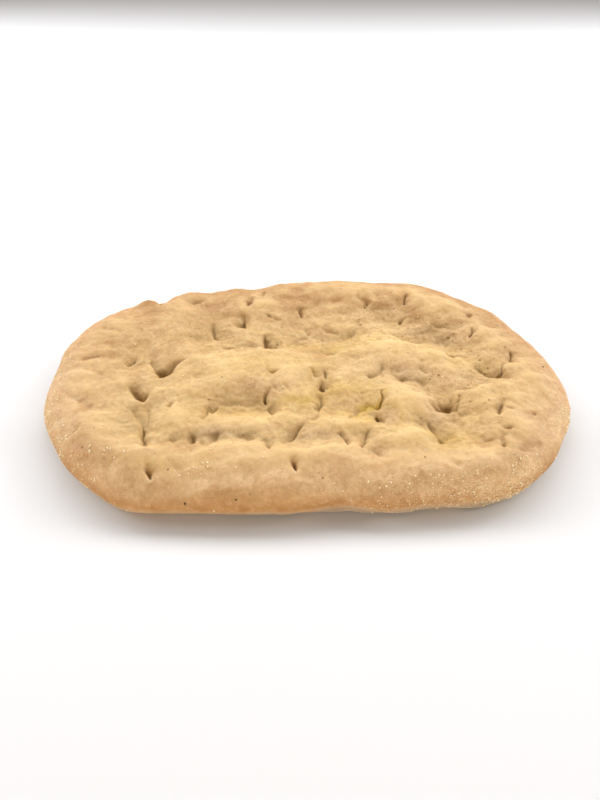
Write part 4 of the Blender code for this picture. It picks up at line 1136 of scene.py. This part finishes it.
@dataclass
class Skin:
    """The bread's whole surface as one fine closed mesh."""

    loaf: Loaf = field(default_factory=Loaf)
    finish: CrustFinish = field(default_factory=CrustFinish)
    spacing: float = 0.8 * MM
    most_triangles: int = 188000
    rim_width: float = 46 * MM
    deepest: float = 9 * MM
    # Unevenness that gives the full painted shade in hollows and painted highlight on crests.
    hollow_depth: float = 1.8 * MM
    lip_width: float = 12 * MM
    # How strong the painted shade in the presses is, and how fast it grows with depth.
    press_shade_strength: float = 0.42
    press_shade_power: float = 1.35
    over_foot: Rise = Rise(1.5, 5.5)
    over_base: Rise = Rise(0.2, 1.4)
    past_edge: Rise = Rise(8, 24)
    # Heights over which the painted shade at the foot fades.
    past_foot: Rise = Rise(4.2, 7.4)
    # Heights and distances over which the painted shade low on the long sides fades.
    past_side: Rise = Rise(8, 15)
    past_middle: Rise = Rise(27, 72)
    shift: Vector = field(default_factory=Vector)

    def block(self) -> bmesh.types.BMesh:
        """Cuts a cube from -1 to 1 as finely as the skin's spacing asks.

        Returns:
            The block.
        """
        loaf = self.loaf
        drop = loaf.top_roll * loaf.shoulder_angle + loaf.foot_inset + loaf.widest_height
        cuts = (
            round(loaf.length / self.spacing),
            round(loaf.width / self.spacing),
            2 * round(drop / (2 * self.spacing)),
        )
        mesh = bmesh.new()
        bmesh.ops.create_cube(mesh, size=2)
        for axis, pieces in enumerate(cuts):
            edges = [e for e in mesh.edges if abs(e.verts[0].co[axis] - e.verts[1].co[axis]) > TINY]
            bmesh.ops.subdivide_edges(mesh, edges=edges, cuts=pieces - 1, use_grid_fill=True)
        return mesh

    def thinned(self, mesh: bpy.types.Mesh) -> bpy.types.Mesh:
        """Thins a mesh where its surface is even.

        Args:
            mesh: The mesh to thin.

        Returns:
            The thinned mesh.
        """
        sample = bpy.data.objects.new("sample", mesh)
        bpy.context.scene.collection.objects.link(sample)
        thin = sample.modifiers.new("thin", "DECIMATE")
        thin.ratio = self.most_triangles / (2 * len(mesh.polygons))
        graph = bpy.context.evaluated_depsgraph_get()
        result = bpy.data.meshes.new_from_object(sample.evaluated_get(graph))
        bpy.data.objects.remove(sample)
        return result

    def mark(self, mesh: bpy.types.Mesh, points: np.ndarray) -> None:
        """Writes every mark at every point of the mesh.

        Args:
            mesh: The skin's mesh.
            points: Its points, still about the plan's middle.
        """
        x, y, z = points.T
        loaf = self.loaf
        inset = loaf.inset(x, y)
        upper = self.over_foot.at(z)
        under = 1 - self.over_base.at(z)
        pressed = np.clip(loaf.pressed(x, y) / self.deepest, 0, 1)
        uneven = Unevenness(loaf).depth(x, y) / self.hollow_depth
        inner = self.past_edge.at(inset) * upper
        lip = np.clip(loaf.lip(np.arctan2(y, x), z) / loaf.lip_reach, 0, 1)
        values = {
            Mark.RIM: 1 - smooth_step(inset / self.rim_width),
            # Painted shade in the presses, from how deep they are.
            Mark.PRESSED_SHADE: self.press_shade_strength * pressed**self.press_shade_power * upper,
            # Painted shade in the hollows.
            Mark.HOLLOW_SHADE: np.clip(uneven, 0, 1) * inner,
            # Painted highlight on the crests.
            Mark.CREST_HIGHLIGHT: np.clip(-uneven, 0, 1) * inner,
            Mark.TOASTED: np.clip(patches(x, y, TOASTED), 0, 1) * (1 - under),
            Mark.OILED: np.clip(patches(x, y, OILED, power=3), 0, 1) * upper,
            Mark.FLOURED: np.clip(patches(x, y, FLOURED), 0, 1),
            # Painted shade on the lip along the front of the foot.
            Mark.LIP_SHADE: lip * (inset < self.lip_width),
            Mark.UNDER: under,
            # Painted shade on the foot.
            Mark.FOOT_SHADE: 1 - self.past_foot.at(z),
            # Painted shade low on the long sides.
            Mark.LOW_SHADE: (1 - self.past_side.at(z)) * self.past_middle.at(np.abs(y)),
        }
        # The greenish mark is partly painted shade in and round the presses.
        tables = {Mark.GOLDEN: GOLDEN, Mark.OLIVE_AND_SHADE: OLIVE_AND_SHADE, Mark.PALED: PALED, Mark.DABBED: DABBED}
        for mark, rows in tables.items():
            values[mark] = np.clip(patches(x, y, rows), 0, 1) * upper
        for mark, value in values.items():
            attribute = mesh.attributes.new(mark.value, "FLOAT", "POINT")
            attribute.data.foreach_set("value", value.astype(np.float32))

    def build(self) -> bpy.types.Object:
        """Builds the skin where its solid is, and dresses it.

        Returns:
            The piece that stands for the solid.
        """
        block = self.block()
        mesh = bpy.data.meshes.new(PIECE)
        block.to_mesh(mesh)
        block.free()
        mesh.vertices.foreach_set("co", self.loaf.shape(points_of(mesh)).ravel())
        mesh = self.thinned(mesh)
        points = points_of(mesh)
        points[:, 2] = np.maximum(points[:, 2], 0)
        self.mark(mesh, points)
        low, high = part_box(NODE)
        middle = (points.min(axis=0) + points.max(axis=0)) / 2
        self.shift = Vector(((low.x + high.x) / 2 - middle[0], (low.y + high.y) / 2 - middle[1], 0))
        mesh.vertices.foreach_set("co", (points + np.array(self.shift)).ravel())
        mesh.update()
        mesh.shade_smooth()
        mesh.materials.append(self.finish.material())
        piece = show(PIECE, mesh)
        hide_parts(NODE)
        return piece


@dataclass
class Grains:
    """Small dry grains that lie half sunk in the skin."""

    name: str
    slot: str
    finish: GrainFinish
    rows: Sequence
    flatness: float
    sunk: float
    seed: int
    sides: int = 1
    widths: tuple[float, float] = (0.55, 0.95)
    lumps: tuple[float, float] = (0.8, 1.15)
    tilt: float = 0.25

    def grain(self) -> tuple[np.ndarray, np.ndarray]:
        """Makes one rounded grain of radius 1.

        Returns:
            Its points and its triangles.
        """
        ball = bmesh.new()
        bmesh.ops.create_icosphere(ball, subdivisions=self.sides, radius=1)
        points = np.array([vertex.co for vertex in ball.verts])
        faces = np.array([[vertex.index for vertex in face.verts] for face in ball.faces])
        ball.free()
        return points, faces

    def frames(self, normals: np.ndarray, chance: np.random.Generator) -> np.ndarray:
        """Turns each grain freely about its normal.

        Args:
            normals: Which way the last axis of each grain points.
            chance: The source of random turns.

        Returns:
            Three axes for each grain.
        """
        free = chance.normal(size=normals.shape)
        first = np.cross(normals, free)
        first /= np.linalg.norm(first, axis=1, keepdims=True)
        return np.stack([first, np.cross(normals, first), normals], axis=1)

    def joined(
        self, places: np.ndarray, normals: np.ndarray, lengths: np.ndarray, chance: np.random.Generator
    ) -> bpy.types.Mesh:
        """Joins one grain for each place into a mesh.

        Args:
            places: Where each grain lies, in metres.
            normals: Which way is out of the skin there.
            lengths: How long each grain is, in metres.
            chance: The source of random turns.

        Returns:
            The mesh of all the grains.
        """
        points, faces = self.grain()
        count = len(places)
        sizes = 0.5 * lengths[:, None] * np.stack(
            [np.ones(count), chance.uniform(*self.widths, count), np.full(count, self.flatness)], axis=1
        )
        lumpy = points[None] * chance.uniform(*self.lumps, (count, len(points), 1))
        local = lumpy * sizes[:, None, :]
        tilted = normals + chance.normal(scale=self.tilt, size=normals.shape)
        tilted /= np.linalg.norm(tilted, axis=1, keepdims=True)
        world = np.einsum("npk,nkc->npc", local, self.frames(tilted, chance))
        lift = (0.5 - self.sunk) * 2 * sizes[:, 2]
        world += places[:, None, :] + (lift[:, None] * normals)[:, None, :]
        whole = faces[None] + (np.arange(count) * len(points))[:, None, None]
        mesh = bpy.data.meshes.new(self.name)
        mesh.from_pydata(world.reshape(-1, 3).tolist(), [], whole.reshape(-1, 3).tolist())
        mesh.shade_smooth()
        return mesh

    def laid(
        self, skin: bpy.types.Object, shift: Vector, chance: np.random.Generator
    ) -> tuple[np.ndarray, np.ndarray, np.ndarray]:
        """The places, normals and lengths of the grains, which each kind of grains gives."""
        raise NotImplementedError

    def build(self, skin: bpy.types.Object, shift: Vector) -> bpy.types.Object:
        """Lays the grains on the skin.

        Args:
            skin: The bread's surface.
            shift: How far the plan lies from the row's frame.

        Returns:
            The piece that holds all the grains.
        """
        chance = np.random.default_rng(self.seed)
        mesh = self.joined(*self.laid(skin, shift, chance), chance)
        mesh.materials.append(self.finish.material())
        return show(self.name, mesh)


@dataclass(kw_only=True)
class StrewnGrains(Grains):
    """Grains strewn over soft oval patches, with more small ones than large ones."""

    count: int
    smallest: float
    largest: float
    lowest: float = 1.0 * MM

    def laid(
        self, skin: bpy.types.Object, shift: Vector, chance: np.random.Generator
    ) -> tuple[np.ndarray, np.ndarray, np.ndarray]:
        """Picks places by area and patch.

        Args:
            skin: The bread's surface.
            shift: How far the plan lies from the row's frame.
            chance: The source of random places.

        Returns:
            The grains' places, normals and lengths.
        """
        mesh = skin.data
        mesh.calc_loop_triangles()
        corners = np.empty(3 * len(mesh.loop_triangles), np.int32)
        mesh.loop_triangles.foreach_get("vertices", corners)
        triangles = points_of(mesh)[corners.reshape(-1, 3)]
        across = np.cross(triangles[:, 1] - triangles[:, 0], triangles[:, 2] - triangles[:, 0])
        area = np.linalg.norm(across, axis=1)
        middle = triangles.mean(axis=1) - np.array(shift)
        weight = area * patches(middle[:, 0], middle[:, 1], self.rows) * (middle[:, 2] > self.lowest)
        chosen = chance.choice(len(weight), self.count, p=weight / weight.sum())
        share = np.sort(chance.uniform(0, 1, (self.count, 2)), axis=1)
        share = np.stack([share[:, 0], share[:, 1] - share[:, 0], 1 - share[:, 1]], axis=1)
        places = np.einsum("nk,nkc->nc", share, triangles[chosen])
        normals = across[chosen] / area[chosen, None]
        spread = self.largest - self.smallest
        return places, normals, self.smallest + spread * chance.uniform(0, 1, self.count) ** 2


@dataclass(kw_only=True)
class LoneFlecks(Grains):
    """Bran flecks that lie where they are seen to: x, y and length, in millimetres on the plan."""

    above: float = 0.1

    def laid(
        self, skin: bpy.types.Object, shift: Vector, chance: np.random.Generator
    ) -> tuple[np.ndarray, np.ndarray, np.ndarray]:
        """Drops each fleck straight down onto the skin.

        Args:
            skin: The bread's surface.
            shift: How far the plan lies from the row's frame.
            chance: Not used.

        Returns:
            The flecks' places, normals and lengths.
        """
        points = points_of(skin.data)
        faces = [tuple(face.vertices) for face in skin.data.polygons]
        tree = BVHTree.FromPolygons([tuple(p) for p in points], faces)
        places, normals = [], []
        for x, y, _ in self.rows:
            start = Vector((x * MM, y * MM, self.above)) + shift
            place, normal, _, _ = tree.ray_cast(start, Vector((0, 0, -1)))
            places.append(place)
            normals.append(normal)
        lengths = np.array([length for _, _, length in self.rows]) * MM
        return np.array(places), np.array(normals), lengths


@dataclass(frozen=True)
class Lamp:
    """An oblong lamp that faces the bread: its place and size in metres, its power in watts."""

    name: str
    place: tuple[float, float, float]
    power: float
    size: tuple[float, float]
    colour: tuple[float, float, float] = (0.97, 0.985, 1.0)

    def hang(self) -> None:
        """Hangs the lamp in the studio."""
        data = bpy.data.lights.new(self.name, "AREA")
        data.energy = self.power
        data.shape = "RECTANGLE"
        data.size, data.size_y = self.size
        data.color = self.colour
        lamp = bpy.data.objects.new(self.name, data)
        lamp.location = self.place
        lamp.rotation_euler = Vector(self.place).to_track_quat("Z", "Y").to_euler()
        bpy.context.scene.collection.objects.link(lamp)


@dataclass
class Studio:
    """A pale floor, soft light from above, and the camera."""

    floor_size: float = 9.0
    floor_drop: float = 0.2 * MM
    floor_colour: tuple = linear(217, 218, 220)
    ambient: float = 0.22
    ambient_colour: tuple = (1.0, 0.8, 0.64, 1.0)
    lamps: tuple[Lamp, ...] = (
        Lamp("key", (0.04, 0.79, 0.78), 23.0, (2.6, 0.36)),
        Lamp("left", (-1.2, 0.45, 0.6), 15.0, (0.9, 0.4)),
        Lamp("right", (1.2, 0.45, 0.6), 15.0, (0.9, 0.4)),
        Lamp("fill", (0.0, -1.5, 0.2), 24.0, (1.6, 0.5), (1.0, 0.89, 0.74)),
    )
    camera_target: tuple[float, float, float] = (-2.457 * MM, -21.13 * MM, 10 * MM)
    camera_distance: float = 349.08 * MM
    camera_elevation: float = math.radians(42)
    sensor: float = 36.0
    long_side: int = 800
    focal_pixels: float = 600.9

    def floor(self) -> None:
        """The floor that the bread lies on."""
        mesh = bmesh.new()
        bmesh.ops.create_grid(mesh, x_segments=1, y_segments=1, size=self.floor_size / 2)
        bmesh.ops.translate(mesh, verts=mesh.verts, vec=(0, 0, -self.floor_drop))
        floor = bpy.data.meshes.new("floor")
        mesh.to_mesh(floor)
        mesh.free()
        recipe = Recipe("pale_floor")
        recipe.set(Base_Color=self.floor_colour, Roughness=0.9, Specular_IOR_Level=0.1)
        floor.materials.append(recipe.material)
        obj = bpy.data.objects.new("floor", floor)
        bpy.context.scene.collection.objects.link(obj)

    def lights(self) -> None:
        """Dim even light from all round, and the lamps."""
        world = bpy.data.worlds.new("studio")
        world.use_nodes = True
        background = world.node_tree.nodes["Background"]
        background.inputs["Color"].default_value = self.ambient_colour
        background.inputs["Strength"].default_value = self.ambient
        bpy.context.scene.world = world
        for lamp in self.lamps:
            lamp.hang()

    def camera(self, shift: Vector) -> None:
        """Sets the camera at the photograph's viewing angle.

        Args:
            shift: How far the plan lies from the row's frame.
        """
        data = bpy.data.cameras.new("camera")
        data.sensor_width = self.sensor
        data.lens = self.focal_pixels / self.long_side * self.sensor
        camera = bpy.data.objects.new("camera", data)
        tilt = self.camera_elevation
        back = Vector((0, -math.cos(tilt), math.sin(tilt))) * self.camera_distance
        camera.location = Vector(self.camera_target) + shift + back
        camera.rotation_euler = (math.pi / 2 - tilt, 0, 0)
        bpy.context.scene.collection.objects.link(camera)
        bpy.context.scene.camera = camera

    def build(self, shift: Vector) -> None:
        """Sets the floor, the lights and the camera.

        Args:
            shift: How far the plan lies from the row's frame.
        """
        self.floor()
        self.lights()
        self.camera(shift)
        bpy.context.scene.view_settings.view_transform = "Standard"


def report(piece: bpy.types.Object) -> None:
    """Logs a piece's name and how many faces it has."""
    LOG.info("%s: %d faces", piece.name, len(piece.data.polygons))


def main() -> None:
    """Builds the bread and what lies on it, and sets it in the studio."""
    logging.basicConfig(level=logging.INFO, format="%(message)s")
    skin = Skin()
    bread = skin.build()
    report(bread)
    semolina = StrewnGrains(
        name="semolina_grains",
        slot="semolina",
        finish=GrainFinish("semolina", linear(236, 220, 186), linear(214, 188, 142)),
        rows=FLOURED,
        flatness=0.6,
        sunk=0.3,
        seed=51,
        count=1350,
        smallest=0.4 * MM,
        largest=1.45 * MM,
    )
    bran = StrewnGrains(
        name="bran_flecks",
        slot="bran",
        finish=GrainFinish("bran", linear(112, 70, 38), linear(150, 100, 58), 0.8),
        rows=BRANNED,
        flatness=0.22,
        sunk=0.45,
        seed=52,
        count=900,
        smallest=0.22 * MM,
        largest=0.75 * MM,
    )
    lone = LoneFlecks(
        name="bran_lone_flecks",
        slot="bran",
        finish=GrainFinish("dark_bran", linear(66, 40, 22), linear(132, 92, 50), 0.8),
        rows=LONE_FLECKS,
        flatness=0.3,
        sunk=0.4,
        seed=53,
    )
    for grains in (semolina, bran, lone):
        report(grains.build(bread, skin.shift))
    Studio().build(skin.shift)


if __name__ == "__main__":
    main()
